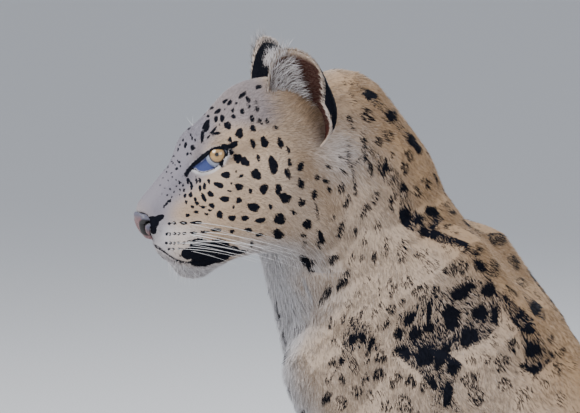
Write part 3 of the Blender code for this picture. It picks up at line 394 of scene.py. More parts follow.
def baked(shape):
    """Applies the object's modifiers to its mesh."""
    graph = bpy.context.evaluated_depsgraph_get()
    mesh = bpy.data.meshes.new_from_object(shape.evaluated_get(graph))
    shape.modifiers.clear()
    old = shape.data
    shape.data = mesh
    bpy.data.meshes.remove(old)
    mesh.name = shape.name
    return shape


def places(mesh):
    """The mesh's points as rows."""
    points = np.empty(len(mesh.vertices) * 3)
    mesh.vertices.foreach_get("co", points)
    return points.reshape(-1, 3)


def put_places(mesh, points):
    mesh.vertices.foreach_set("co", points.ravel())
    mesh.update()


def facings(mesh):
    """The unit normal at each of the mesh's points."""
    normals = np.empty(len(mesh.vertices) * 3)
    mesh.vertex_normals.foreach_get("vector", normals)
    return normals.reshape(-1, 3)


def unit(rows):
    return rows / np.maximum(np.linalg.norm(rows, axis=-1, keepdims=True), 1e-12)


def smooth_step(low, high, value):
    share = np.clip((value - low) / (high - low), 0.0, 1.0)
    return share * share * (3 - 2 * share)


def node_middle(node):
    low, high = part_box(node)
    return (low + high) / 2


@lru_cache(maxsize=None)
def head_matrix():
    """From the head's own frame to the shared frame, found from where the left eye lies."""
    turn = Matrix.Rotation(math.radians(HEAD_TURN_DEG), 4, "Z")
    return Matrix.Translation(node_middle("eye_left") - turn @ EYE) @ turn


def in_head(points):
    inverse = np.array(head_matrix().inverted())
    return points @ inverse[:3, :3].T + inverse[:3, 3]


def from_head(points):
    matrix = np.array(head_matrix())
    return points @ matrix[:3, :3].T + matrix[:3, 3]


def turned_from_head(rows):
    return rows @ np.array(head_matrix())[:3, :3].T


def body_shift():
    """From the body's own frame to the shared frame."""
    return np.array(head_matrix().translation - HEAD_IN_BODY)


def in_body(points):
    return points - body_shift()


def flipped(rows):
    return rows * np.array((1.0, -1.0, 1.0))


def ride_as(piece, slot, *nodes):
    """Makes a piece part of the model, in place of the named nodes."""
    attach(piece, "root")
    if nodes:
        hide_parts(*nodes)
    return piece


@lru_cache(maxsize=None)
def guides():
    """Place, direction and length of the coat at every guide, in the shared frame, on both sides."""
    spots, runs, lengths = [], [], []
    for table, move, turn in (
        (HEAD_LIE, from_head, turned_from_head),
        (BODY_LIE, lambda rows: rows + body_shift(), lambda rows: rows),
    ):
        place = np.array([row[0] for row in table])
        run = np.array([row[1] for row in table])
        length = np.array([row[2] for row in table]) / 1000
        for rows, ways in ((place, run), (flipped(place), flipped(run))):
            spots.append(move(rows))
            runs.append(turn(ways))
            lengths.append(length)
    tail = np.array(TAIL_PATH) + body_shift()
    fine = np.linspace(0, len(tail) - 1, 40)
    path = np.column_stack([np.interp(fine, range(len(tail)), tail[:, k]) for k in range(3)])
    spots.append(path)
    runs.append(np.gradient(path, axis=0))
    lengths.append(np.linspace(*TAIL_COAT, len(path)) / 1000)
    return np.concatenate(spots), unit(np.concatenate(runs)), np.concatenate(lengths)


def coat_at(points, normals):
    """The coat's direction along the skin and its length at each point, blended from the guides."""
    spots, runs, lengths = guides()
    along = np.zeros_like(points)
    length = np.zeros(len(points))
    for start in range(0, len(points), 20000):
        part = slice(start, start + 20000)
        gap = ((points[part, None, :] - spots[None]) ** 2).sum(2)
        share = 1 / (gap + 2.5e-4) ** 2.2
        share /= share.sum(1, keepdims=True)
        along[part] = share @ runs
        length[part] = share @ lengths
    along -= normals * (along * normals).sum(1, keepdims=True)
    return unit(along), length


def coat_depth(length):
    """How far the skin lies under the tips of the coat."""
    return np.minimum(0.30 * length, 0.0062)


def camera_axes():
    """Right, up and back of the photo's camera, and the point it looks at."""
    azimuth = math.radians(CAMERA_AZIMUTH_DEG)
    elevation = math.radians(CAMERA_ELEVATION_DEG)
    right = np.array((math.cos(azimuth), math.sin(azimuth), 0.0))
    back = np.array(
        (math.sin(azimuth) * math.cos(elevation), -math.cos(azimuth) * math.cos(elevation), math.sin(elevation))
    )
    aim = right * CAMERA_AIM_RIGHT + np.array((0, 0, CAMERA_AIM_UP)) + body_shift()
    return right, np.cross(back, right), back, aim


def photo_ray(pixel):
    """The start and direction of the camera's ray through a pixel of the photo."""
    right, up, back, aim = camera_axes()
    cell = PHOTO_WIDTH_M / PHOTO_PIXELS[0]
    across = (pixel[0] - PHOTO_PIXELS[0] / 2) * cell
    down = (pixel[1] - PHOTO_PIXELS[1] / 2) * cell
    eye = aim + back * CAMERA_DISTANCE
    return Vector(eye), Vector(aim + right * across - up * down - eye).normalized()


def skin_tree():
    mesh = bpy.data.objects["skin"].data
    return BVHTree.FromPolygons([v.co for v in mesh.vertices], [p.vertices for p in mesh.polygons])


def eye_axes(side):
    """Centre of the eye, and the lids' axes along the slant, across it and out, in the head's frame."""
    centre, out, slant = np.array(EYE), np.array(OPENING_FACING), np.array(OPENING_SLANT)
    slant = unit(slant - out * (slant @ out))
    across = np.cross(out, slant)
    if side == "right":
        centre, out, slant, across = (flipped(rows) for rows in (centre, out, slant, across))
    return centre, slant, across, out


@lru_cache(maxsize=None)
def opening():
    """The ring of the opening between the lids, in millimetres along the slant and across it."""
    _, slant, across, out = eye_axes("left")
    middle = np.array(EYE) + out * OPENING_STANDS
    inverse = np.array(head_matrix().inverted())
    ring = []
    for pixel in OPENING_PIXELS:
        start, way = photo_ray(pixel)
        start = in_head(np.array(start)[None])[0]
        way = inverse[:3, :3] @ np.array(way)
        place = start + way * ((middle - start) @ out) / (way @ out)
        ring.append(((place - middle) @ slant * 1000, (place - middle) @ across * 1000))
    return np.array(smooth_ring(ring, 4))


def outline_gap(x, y):
    """How far points lie outside the opening between the lids; it is negative inside. In millimetres."""
    ring = opening()
    ends = np.roll(ring, -1, axis=0)
    run = ends - ring
    offset_x = x[:, None] - ring[None, :, 0]
    offset_y = y[:, None] - ring[None, :, 1]
    share = np.clip((offset_x * run[:, 0] + offset_y * run[:, 1]) / (run**2).sum(1), 0, 1)
    gap = np.hypot(offset_x - share * run[:, 0], offset_y - share * run[:, 1]).min(1)
    crosses = ((ring[None, :, 1] > y[:, None]) != (ends[None, :, 1] > y[:, None])) & (
        x[:, None] < run[:, 0] * (y[:, None] - ring[None, :, 1]) / np.where(run[:, 1] == 0, 1e-9, run[:, 1]) + ring[None, :, 0]
    )
    inside = crosses.sum(1) % 2 == 1
    return np.where(inside, -gap, gap)


def smooth_ring(points, steps):
    """A closed smooth curve through the points."""
    count = len(points)
    ring = []
    for i in range(count):
        before, start, end, after = (np.array(points[(i + k) % count]) for k in (-1, 0, 1, 2))
        for k in range(steps):
            t = k / steps
            ring.append(
                start * (2 * t**3 - 3 * t**2 + 1)
                + (end - before) / 2 * (t**3 - 2 * t**2 + t)
                + end * (3 * t**2 - 2 * t**3)
                + (after - start) / 2 * (t**3 - t**2)
            )
    return ring


def flesh_shape():
    """The nodes of flesh as one object, grown until they touch, with the eye sockets filled."""
    bm = bmesh.new()
    for name in (*FLESH, "nose"):
        bm.from_mesh(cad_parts[name].data)
    bmesh.ops.remove_doubles(bm, verts=bm.verts, dist=0.00001)
    bm.normal_update()
    grown = [vert.co + vert.normal * 0.0004 for vert in bm.verts]
    for vert, place in zip(bm.verts, grown):
        vert.co = place
    for side in SIDES:
        place = Matrix.Translation(node_middle(f"eye_{side}"))
        bmesh.ops.create_icosphere(bm, subdivisions=3, radius=EYE_RADIUS + 0.0012, matrix=place)
    return finished(bm, "skin")


def add_group(shape, name, weights):
    """A vertex group with a weight for each point, written in steps."""
    group = shape.vertex_groups.new(name=name)
    level = np.round(weights * 20).astype(int)
    for value in np.unique(level):
        group.add(np.flatnonzero(level == value).tolist(), value / 20, "REPLACE")


def headness(points):
    """One on the face, falling to nothing down the neck."""
    local = in_head(points)
    reach = np.linalg.norm((local - (0.13, 0, -0.02)) / (0.13, 0.10, 0.13), axis=1)
    return 1 - smooth_step(0.85, 1.25, reach)


def thin_and_smooth(skin):
    """Takes the facets out of the skin and keeps most of its triangles on the head."""
    points = places(skin.data)
    head = headness(points)
    local = in_body(points)
    feet = 1 - smooth_step(0.05, 0.10, local[:, 2])
    add_group(skin, "body", np.clip(1 - 0.90 * head - 0.55 * feet, 0, 1))
    add_group(skin, "head", head)
    for group, rounds in (("body", 26), ("head", 4)):
        smooth = skin.modifiers.new("smooth", "SMOOTH")
        smooth.vertex_group = group
        smooth.iterations = rounds
        smooth.factor = 0.6
    thin = skin.modifiers.new("thin", "DECIMATE")
    thin.ratio = min(1.0, coat_sizes().skin_triangles / (2 * len(skin.data.polygons)))
    thin.vertex_group = "body"
    thin.vertex_group_factor = 2.0
    baked(skin)
    skin.vertex_groups.clear()


def sink(skin):
    """Lowers the skin by the depth of the coat on it."""
    mesh = skin.data
    points, normals = places(mesh), facings(mesh)
    _, length = coat_at(points, normals)
    depth = coat_depth(length)
    depth *= 1 - 0.75 * (1 - smooth_step(0.004, 0.014, points[:, 2]))
    put_places(mesh, points - normals * depth[:, None])


def refine(skin, centre, radius, longest):
    """Splits the edges near a point until none is longer than wanted."""
    bm = bmesh.new()
    bm.from_mesh(skin.data)
    for _ in range(3):
        near = {vert for vert in bm.verts if (vert.co - centre).length < radius}
        edges = {edge for vert in near for edge in vert.link_edges if edge.calc_length() > longest}
        if not edges:
            break
        bmesh.ops.subdivide_edges(bm, edges=list(edges), cuts=1)
        bmesh.ops.triangulate(bm, faces=[face for face in bm.faces if len(face.verts) > 3])
    bm.to_mesh(skin.data)
    bm.free()


def shape_lids(skin, side):
    """Sets the skin round an eye: lids that hug the ball, and a pit behind the opening."""
    mesh = skin.data
    points = places(mesh)
    local = in_head(points)
    centre, slant, across, out = eye_axes(side)
    offset = local - centre
    x, y, z = (offset @ axis * 1000 for axis in (slant, across, out))
    near = (np.hypot(x + 4, y) < 36) & (z > -2)
    gap = outline_gap(x[near], y[near])
    lid = lid_height(x[near], y[near])
    rest = z[near]
    rim = np.exp(-((np.maximum(gap, 0) / 4.5) ** 2))
    height = rest + (lid + 1.5 - rest) * rim
    pit = smooth_step(0.2, -1.1, gap)
    floor = np.minimum(lid - 4.2, ball_height(x[near], y[near]) - 3.0)
    inner = smooth_step(-9.0, -14.0, x[near])
    floor = floor * (1 - inner) + (lid - 1.6) * inner
    height = height + (floor - height) * pit
    local[near] += (height - rest)[:, None] / 1000 * out
    put_places(mesh, from_head(local))


def ball_height(x, y):
    """How high the front of the eyeball stands at a place in the lids' plane, in millimetres."""
    radius = EYE_RADIUS * 1000
    return np.sqrt(np.maximum(radius**2 - x**2 - y**2, 0.0))


def lid_height(x, y):
    """How high the lids' surface stands: close over the ball, and level with the nose at the inner corner."""
    inner = smooth_step(-7.0, -25.0, x)
    over_ball = np.sqrt(np.maximum((EYE_RADIUS * 1000 + 0.6) ** 2 - np.minimum(x**2 + y**2, 200.0), 0.0))
    return over_ball * (1 - inner) + 15.0 * inner


@lru_cache(maxsize=None)
def mouth_path():
    """Points along the line of the mouth, right round the muzzle, on the skin."""
    tree = skin_tree()
    matrix = head_matrix()
    turn = matrix.to_3x3()
    path = []
    for (forward, up), (next_forward, next_up) in zip(MOUTH_LINE, MOUTH_LINE[1:]):
        for share in (0.0, 0.25, 0.5, 0.75):
            spot = (forward + (next_forward - forward) * share, 0.15, up + (next_up - up) * share)
            path.append((Vector(spot), Vector((0, -1, 0))))
    forward, up = MOUTH_LINE[-1]
    for k in range(19):
        share = k / 18
        angle = math.radians(90 - 90 * share)
        out = Vector((math.cos(angle), math.sin(angle), 0))
        height = up + (MOUTH_FRONT_UP - up) * share * share * (3 - 2 * share)
        path.append((Vector((forward, 0, height)) + out * 0.15, -out))
    left = [tree.ray_cast(matrix @ spot, turn @ way)[0] for spot, way in path]
    mirror = Matrix.Scale(-1, 3, (0, 1, 0))
    right = [tree.ray_cast(matrix @ (mirror @ spot), turn @ (mirror @ way))[0] for spot, way in path[:-1]]
    return np.array([tuple(point) for point in left + right[::-1]])


def path_gap(points, path):
    """The distance from each point to the nearest stretch of a path."""
    start, run = path[:-1], np.diff(path, axis=0)
    offset = points[:, None, :] - start[None]
    share = np.clip((offset * run).sum(2) / (run**2).sum(1), 0, 1)
    return np.linalg.norm(offset - share[:, :, None] * run, axis=2).min(1)


def shape_mouth(skin):
    """Cuts the line of the mouth and the split under the nose, with full lips beside them."""
    mesh = skin.data
    points, normals = places(mesh), facings(mesh)
    near = np.flatnonzero(headness(points) > 0.2)
    gap = path_gap(points[near], mouth_path()) * 1000
    local = in_head(points[near])
    split = np.abs(local[:, 1]) * 1000
    front = (local[:, 0] > 0.21) & (local[:, 2] < SPLIT_TOP) & (local[:, 2] > MOUTH_FRONT_UP - 0.002)
    split = np.where(front, split, 100.0)
    move = -3.2 * np.exp(-((gap / 1.5) ** 2)) + 1.1 * np.exp(-(((gap - 4.5) / 2.6) ** 2))
    move += -1.8 * np.exp(-((split / 1.3) ** 2))
    points[near] += normals[near] * move[:, None] / 1000
    put_places(mesh, points)


@lru_cache(maxsize=None)
def leather_places():
    """Rows of places on the snout under the nose leather, with how far round and down each lies."""
    tree = skin_tree()
    matrix = head_matrix()
    turn = matrix.to_3x3()
    rows = []
    knots = [row[0] for row in LEATHER]
    for t in np.linspace(0, 1, LEATHER_CELLS[1] + 1):
        up = float(np.interp(t, knots, [row[1] for row in LEATHER]))
        half = float(np.interp(t, knots, [row[2] for row in LEATHER]))
        for s in np.linspace(-1, 1, LEATHER_CELLS[0] + 1):
            spot = matrix @ Vector((0.40, half * s, up - 0.0025 * s * s * (1 - t)))
            place, normal, _, _ = tree.ray_cast(spot, turn @ Vector((-1, 0, 0)))
            rows.append((*place, *normal, s, t))
    return np.array(rows)


def make_room(skin):
    """Sets the skin back under the nose leather."""
    mesh = skin.data
    points, normals = places(mesh), facings(mesh)
    leather = leather_places()
    near = np.flatnonzero(np.linalg.norm(in_head(points) - LEATHER_MIDDLE, axis=1) < 0.04)
    inner = leather[(np.abs(leather[:, 6]) < 0.86) & (leather[:, 7] > 0.08) & (leather[:, 7] < 0.92), :3]
    gap = np.sqrt(((points[near, None, :] - inner[None]) ** 2).sum(2).min(1))
    points[near] -= normals[near] * (0.0055 * smooth_step(0.0030, 0.0012, gap))[:, None]
    put_places(mesh, points)


def blob(centre, first, second):
    """One dark mark: its centre and two half axes, in the shared frame."""
    return (np.asarray(centre, float), np.asarray(first, float), np.asarray(second, float))


def photo_blobs(rows, tree):
    """Marks laid on the skin where the photo shows them."""
    right, up, back, _ = camera_axes()
    marks = []
    for u, v, half_width, half_height, turn in rows:
        start, way = photo_ray((u, v))
        place, normal, _, _ = tree.ray_cast(start, way)
        if place is None:
            continue
        normal = np.array(normal)
        cell = PHOTO_WIDTH_M / PHOTO_PIXELS[0]
        angle = math.radians(turn)
        facing = max(abs(normal @ back), 0.42)
        axes = []
        for size, sway in ((half_width, angle), (half_height, angle + math.pi / 2)):
            flat = (right * math.cos(sway) - up * math.sin(sway)) * size * cell
            axes.append(flat - back * (flat @ normal) / facing * np.sign(normal @ back))
        marks.append(blob(place, *axes))
    return marks


def mirrored(marks, wander, tree, stream):
    """The same marks on the head's or neck's other side, each a little moved and changed."""
    result = []
    for centre, first, second in marks:
        local = flipped(in_head(centre[None]))[0] + stream.normal(0, wander, 3)
        place, _, _, _ = tree.find_nearest(Vector(from_head(local[None])[0]))
        turn = np.array(head_matrix())[:3, :3]
        axes = [turn @ flipped(turn.T @ axis) * stream.uniform(0.85, 1.15) for axis in (first, second)]
        result.append(blob(place, *axes))
    return result


def rosette(centre, normal, along, radius, stream):
    """A broken ring of dark marks."""
    across = np.cross(normal, along)
    count = stream.integers(4, 6)
    turn = stream.uniform(0, 2 * math.pi)
    ring = []
    for k in range(count):
        angle = turn + 2 * math.pi * (k + stream.uniform(-0.12, 0.12)) / count
        out = along * math.cos(angle) * 1.12 + across * math.sin(angle)
        way = -along * math.sin(angle) + across * math.cos(angle)
        length = radius * stream.uniform(0.42, 0.66)
        ring.append(blob(centre + out * radius, way * length, out * radius * stream.uniform(0.26, 0.36)))
    return ring


def scattered(points, keep, spacing, taken):
    """The samples that can each hold a mark, none nearer to another than its own spacing asks."""
    chosen = np.array(taken)
    found = []
    for i in np.flatnonzero(keep):
        if np.linalg.norm(chosen - points[i], axis=1).min() < spacing[i]:
            continue
        chosen = np.vstack((chosen, points[i]))
        found.append(i)
    return found


@lru_cache(maxsize=None)
def marks():
    """Every dark mark of the coat, and the middles of the rosettes."""
    stream = np.random.default_rng(7)
    tree = skin_tree()
    mesh = bpy.data.objects["skin"].data
    points, normals, _, _, _ = sown(mesh, lambda middle, facing: np.full(len(middle), 0.0055), stream)
    order = stream.permutation(len(points))
    points, normals = points[order], normals[order]
    head = photo_blobs(HEAD_SPOTS, tree)
    made = head + photo_blobs(NECK_SPOTS, tree) + mirrored(head, 0.0012, tree, stream)
    body = in_body(points)
    local = in_head(points)
    taken = [mark[0] for mark in made]
    on_head = headness(points) > 0.35
    along, _ = coat_at(points, normals)
    legs = (body[:, 2] < 0.30) & (body[:, 0] < 0.03)
    foot = body[:, 2] < 0.07
    tail = tail_share(points) > 0
    back = (normals @ np.array((0.80, 0, 0.60)) > 0.1) | (np.abs(normals[:, 1]) > 0.72)
    ring_zone = (body[:, 0] > 0.08) & (body[:, 2] > 0.11) & ~tail & back & ~foot
    spacing = np.full(len(points), 0.0225)
    spacing[ring_zone] = 0.043
    spacing[legs] = 0.0185
    spacing[foot] = 0.0115
    spacing[tail] = 0.028
    spacing[on_head] = 0.0115
    far_face = on_head & (local[:, 0] > 0.02)
    keep = ~photo_side(points, normals) & ~far_face & (points[:, 2] > 0.006)
    cores = []
    for i in scattered(points, keep & ring_zone, spacing, taken):
        radius = 0.0148 * stream.uniform(0.85, 1.15)
        made += rosette(points[i], normals[i], along[i], radius, stream)
        cores.append((points[i], radius * 1.1))
        taken.append(points[i])
    wide = spacing.copy()
    wide[ring_zone] = 0.0255
    for i in scattered(points, keep, wide, taken):
        size = wide[i] * stream.uniform(0.26, 0.37)
        slim = stream.uniform(0.60, 0.90)
        turn = stream.normal(0, 0.35)
        across = np.cross(normals[i], along[i])
        first = (along[i] * math.cos(turn) + across * math.sin(turn)) * size
        second = (across * math.cos(turn) - along[i] * math.sin(turn)) * size * slim
        if tail_share(points[i][None])[0] > 0.35:
            first, second = along[i] * size * 0.9, across * size * 2.0
        made.append(blob(points[i], first, second))
    return made, cores


def photo_side(points, normals):
    """Where the photo shows the coat, so that its own marks are enough there."""
    right, up, back, aim = camera_axes()
    offset = points - aim
    half = PHOTO_WIDTH_M / 2
    high = half * PHOTO_PIXELS[1] / PHOTO_PIXELS[0]
    framed = (np.abs(offset @ right) < half) & (np.abs(offset @ up) < high)
    local = in_head(points)
    far = (local[:, 1] < -0.02) & (local[:, 0] > 0)
    return framed & (normals @ back > 0.12) & ~far


def tail_share(points):
    """How far along the tail a point lies, or zero off the tail."""
    path = np.array(TAIL_PATH) + body_shift()
    start, run = path[:-1], np.diff(path, axis=0)
    best = np.full(len(points), 1.0)
    share_at = np.zeros(len(points))
    for i in range(len(start)):
        offset = points - start[i]
        share = np.clip(offset @ run[i] / (run[i] @ run[i]), 0, 1)
        gap = np.linalg.norm(offset - share[:, None] * run[i], axis=1)
        nearer = gap < best
        best = np.where(nearer, gap, best)
        share_at = np.where(nearer, (i + share) / len(start), share_at)
    return np.where((best < 0.036) & (share_at > 0.06), share_at, 0.0)


def dark_amount(points, normals):
    """How deep inside a dark mark each point lies, in metres, and how much it is in a rosette's middle."""
    made, cores = marks()
    order = np.argsort(points[:, 2])
    heights = points[order, 2]
    dark = np.full(len(points), -0.01)
    stream = np.random.default_rng(11)
    for centre, first, second in made:
        reach = 1.9 * max(np.linalg.norm(first), np.linalg.norm(second)) + 0.003
        low, high = np.searchsorted(heights, (centre[2] - reach, centre[2] + reach))
        phase = stream.uniform(0, 2 * math.pi, 3)
        rows = order[low:high]
        rows = rows[np.abs(points[rows] - centre).max(1) < reach]
        if not len(rows):
            continue
        offset = points[rows] - centre
        basis = np.column_stack((first, second))
        xy = offset @ np.linalg.pinv(basis).T
        radius = np.hypot(xy[:, 0], xy[:, 1])
        turn = np.arctan2(xy[:, 1], xy[:, 0])
        wobble = 1 + 0.10 * np.sin(2 * turn + phase[0]) + 0.09 * np.sin(3 * turn + phase[1]) + 0.05 * np.sin(5 * turn + phase[2])
        size = math.sqrt(np.linalg.norm(first) * np.linalg.norm(second))
        value = (wobble - radius) * size + 0.0003
        normal = np.cross(first, second)
        normal /= max(np.linalg.norm(normal), 1e-12)
        value -= 0.6 * np.maximum(np.abs(offset @ normal) - 0.014, 0)
        dark[rows] = np.maximum(dark[rows], value)
    core = np.zeros(len(points))
    for centre, radius in cores:
        low, high = np.searchsorted(heights, (centre[2] - radius, centre[2] + radius))
        rows = order[low:high]
        gap = np.linalg.norm(points[rows] - centre, axis=1)
        core[rows] = np.maximum(core[rows], smooth_step(radius * 1.15, radius * 0.7, gap))
    return dark, core


@lru_cache(maxsize=None)
def mouth_patch():
    """The black at the corner of the mouth, and painted shade in and behind the nostril, as marks in the head's frame.
    """
    turn = np.array(head_matrix())[:3, :3]
    return [
        (in_head(centre[None])[0], turn.T @ first, turn.T @ second)
        for centre, first, second in photo_blobs(MOUTH_PATCH + NOSTRIL_SHADE_PATCH, skin_tree())
    ]


@lru_cache(maxsize=None)
def lid_path(pixels):
    """A line beside the eye, in millimetres in the lids' own plane."""
    _, slant, across, _ = eye_axes("left")
    tree = skin_tree()
    hits = [np.array(tree.ray_cast(*photo_ray(pixel))[0]) for pixel in pixels]
    offset = (in_head(np.array(hits)) - np.array(EYE)) * 1000
    return np.column_stack((offset @ slant, offset @ across, np.zeros(len(hits))))


def patches(points, normals):
    """Dark that isn't a spot: corner of the mouth, painted shade at the nostrils, the lip line, lid rims and tear
    streak, tail tip and rings.
    """
    local = in_head(points)
    mirror = np.column_stack((local[:, 0], np.abs(local[:, 1]), local[:, 2]))
    head = headness(points) > 0.3
    dark = np.full(len(points), -0.01)
    # Black lip corners, and painted shade over the nostril openings
    for centre, first, second in mouth_patch():
        basis = np.linalg.pinv(np.column_stack((first, second))).T
        rows = np.flatnonzero(np.linalg.norm(mirror - centre, axis=1) < 0.035)
        radius = np.linalg.norm((mirror[rows] - centre) @ basis, axis=1)
        dark[rows] = np.maximum(dark[rows], (1 - radius) * 0.010)
    lip_line = path_gap(points[head], mouth_path())
    dark[head] = np.maximum(dark[head], 0.0026 - lip_line)
    for side in SIDES:
        centre, slant, across, out = eye_axes(side)
        offset = (local - centre) * 1000
        x, y, z = (offset @ axis for axis in (slant, across, out))
        near = np.flatnonzero((np.hypot(x + 4, y) < 44) & (z > -4))
        rim = 0.8 + 2.0 * smooth_step(-1.0, 4.0, y[near]) + 1.0 * smooth_step(7.0, 12.0, x[near])
        gap = outline_gap(x[near], y[near])
        inside = smooth_step(-9.0, -12.0, x[near]) * (gap < -0.4)
        dark[near] = np.maximum(dark[near], (rim - gap) / 1000 - inside)
        flat = np.column_stack((x[near], y[near], np.zeros(len(near))))
        for streak, width in ((TEAR_STREAK, 2.6), (OUTER_CORNER, 3.4)):
            dark[near] = np.maximum(dark[near], (width - path_gap(flat, lid_path(streak))) / 1000)
    share = tail_share(points)
    dark = np.maximum(dark, np.where(share > 0.955, 0.004, -0.01))
    rings = np.abs(((share - 0.62) / 0.085) % 1.0 - 0.5) * 0.085 * 0.9
    dark = np.maximum(dark, np.where(share > 0.62, (0.016 - rings), -0.01))
    return dark


def pale_amount(points, normals):
    """How white the coat is: chin, throat, chest, belly, the inner sides of the legs, and under the tail."""
    body, local = in_body(points), in_head(points)
    head = headness(points)
    under = smooth_step(-0.05, 0.60, normals @ np.array((-0.83, 0.0, -0.55)))
    middle = 1 - smooth_step(0.070, 0.135, np.abs(body[:, 1] + 0.02))
    chest = under * middle * smooth_step(0.24, 0.30, body[:, 2])
    inner = smooth_step(0.1, 0.7, -normals[:, 1] * np.sign(body[:, 1]) * -1.0 * -1.0)
    legs = inner * (1 - smooth_step(0.30, 0.36, body[:, 2])) * smooth_step(0.02, 0.05, np.abs(body[:, 1]))
    belly = under * (1 - smooth_step(0.30, 0.40, body[:, 2])) * smooth_step(-0.02, 0.04, body[:, 0]) * middle
    share = tail_share(points)
    tail = smooth_step(0.2, 0.8, -normals[:, 2]) * (share > 0)
    feet = 0.45 * (1 - smooth_step(0.04, 0.09, body[:, 2]))
    chin = smooth_step(-0.108, -0.128, local[:, 2]) * head
    muzzle = 0.55 * smooth_step(0.17, 0.20, local[:, 0]) * smooth_step(-0.060, -0.085, local[:, 2]) * head
    jaw = smooth_step(-0.075, -0.105, local[:, 2]) * smooth_step(0.17, 0.12, local[:, 0]) * head * 0.8
    throat = smooth_step(0.02, 0.55, normals @ np.array((-0.6, 0.0, -0.8))) * (1 - head) * smooth_step(0.50, 0.56, body[:, 2]) * 0.9
    nape = 0.5 * np.exp(-((np.linalg.norm(local - NAPE_PALE, axis=1) / 0.030) ** 2))
    pale = np.stack((chest, legs, belly, tail, feet, chin, muzzle, jaw, throat, nape)).max(0)
    for side in SIDES:
        centre, slant, across, out = eye_axes(side)
        offset = (local - centre) * 1000
        x, y = offset @ slant, offset @ across
        near = (offset @ out > 0) & (np.hypot(x, y) < 40)
        gap = np.full(len(points), 99.0)
        gap[near] = outline_gap(x[near], y[near])
        below = (y < -1) | (x < -10)
        pale = np.maximum(pale, np.where(below, smooth_step(5.0, 3.0, gap) * 0.8, smooth_step(5.5, 4.0, gap) * 0.25))
    return np.clip(pale, 0, 1)


def grey_and_sheen_amount(points):
    """How bluish grey the coat is: on the bridge of the nose, the forehead and the upper lip. The grey is partly the
    coat's own grey-brown and partly painted bluish sheen of the light.
    """
    local = in_head(points)
    head = headness(points)
    bridge = smooth_step(0.135, 0.175, local[:, 0]) * smooth_step(0.045, 0.022, np.abs(local[:, 1]))
    forehead = 0.75 * smooth_step(0.030, 0.055, local[:, 2]) * smooth_step(0.085, 0.115, local[:, 0])
    streak = np.exp(-((np.linalg.norm(local - GREY_AND_SHEEN_STREAK, axis=1) / 0.016) ** 2))
    return np.clip(np.maximum(np.maximum(bridge, forehead), streak) * head, 0, 1)


def third_lid_reflection_amount(points):
    """Where the eye's inner corner shows its third lid, dark with a painted bluish reflection on its wet surface."""
    local = in_head(points)
    third_lid_reflection = np.zeros(len(points))
    for side in SIDES:
        centre, slant, across, out = eye_axes(side)
        offset = (local - centre) * 1000
        x, y, z = (offset @ axis for axis in (slant, across, out))
        near = np.flatnonzero((np.hypot(x + 4, y) < 44) & (z > -4))
        third_lid_reflection[near] = smooth_step(-9.0, -12.0, x[near]) * smooth_step(-0.2, -0.9, outline_gap(x[near], y[near]))
    return third_lid_reflection


def warm_amount(points, normals):
    """How ochre the coat is: along the back, the nape and the forehead."""
    body = in_body(points)
    top = smooth_step(0.25, 0.95, normals @ np.array((0.80, 0.0, 0.60)))
    face = headness(points)
    local = in_head(points)
    brow = 0.4 * face * smooth_step(-0.03, 0.05, local[:, 2])
    cheek = 0.35 * face * smooth_step(0.06, 0.13, local[:, 0]) * smooth_step(0.0, -0.06, local[:, 2])
    tail = 0.5 * (tail_share(points) > 0)
    leg = 0.35 * (1 - smooth_step(0.25, 0.35, body[:, 2]))
    return np.clip(np.stack((top * (1 - 0.4 * face), brow, cheek, tail, leg)).max(0), 0, 1)


def darkness(points, normals):
    """How deep in any dark mark each point lies, and how much it is in a rosette's middle."""
    dark, core = dark_amount(points, normals)
    return np.maximum(dark, patches(points, normals)).astype(np.float32), core


def coat_values(points, normals):
    """All that colours skin and coat alike, at each point."""
    dark, core = darkness(points, normals)
    pale = pale_amount(points, normals)
    return {
        "dark": dark,
        "core": (core * (1 - pale)).astype(np.float32),
        "pale": pale.astype(np.float32),
        "warm": warm_amount(points, normals).astype(np.float32),
        "grey_and_sheen": grey_and_sheen_amount(points).astype(np.float32),
        "third_lid_reflection": third_lid_reflection_amount(points).astype(np.float32),
    }


def put_values(mesh, values):
    """Stores each named list of numbers as an attribute of the mesh's points."""
    for name, numbers in values.items():
        layer = mesh.attributes.new(name, "FLOAT", "POINT")
        layer.data.foreach_set("value", np.ascontiguousarray(numbers, np.float32))


def unwrapped(shape):
    """Gives the shape an unwrap of its own, named OFBake."""
    mesh = shape.data
    while mesh.uv_layers:
        mesh.uv_layers.remove(mesh.uv_layers[0])
    mesh.uv_layers.new(name="OFBake")
    bpy.context.view_layer.objects.active = shape
    shape.select_set(True)
    bpy.ops.object.mode_set(mode="EDIT")
    bpy.ops.mesh.select_all(action="SELECT")
    bpy.ops.uv.smart_project(angle_limit=math.radians(80), island_margin=0.0)
    bpy.ops.object.mode_set(mode="OBJECT")
    shape.select_set(False)


class LEOPARD_OT_skin(bpy.types.Operator):
    """One skin over all the flesh, with lids, lips and markings"""

    bl_idname = "leopard.skin"
    bl_label = "Skin"

    def execute(self, context):
        skin = flesh_shape()
        remesh = skin.modifiers.new("remesh", "REMESH")
        remesh.mode = "VOXEL"
        remesh.voxel_size = coat_sizes().skin_voxel
        baked(skin)
        thin_and_smooth(skin)
        sink(skin)
        for side in SIDES:
            refine(skin, node_middle(f"eye_{side}"), 0.030, 0.0013)
            shape_lids(skin, side)
        refine(skin, head_matrix() @ Vector((0.225, 0.0, -0.105)), 0.040, 0.0020)
        shape_mouth(skin)
        leather_places()
        make_room(skin)
        skin.data.shade_smooth()
        unwrapped(skin)
        mesh = skin.data
        put_values(mesh, coat_values(places(mesh), facings(mesh)))
        mesh.materials.append(coat_material("skin", 0.82))
        ride_as(skin, "coat", *FLESH)
        return {"FINISHED"}


def node(tree, kind, **settings):
    made = tree.nodes.new(kind)
    for name, value in settings.items():
        setattr(made, name, value)
    return made


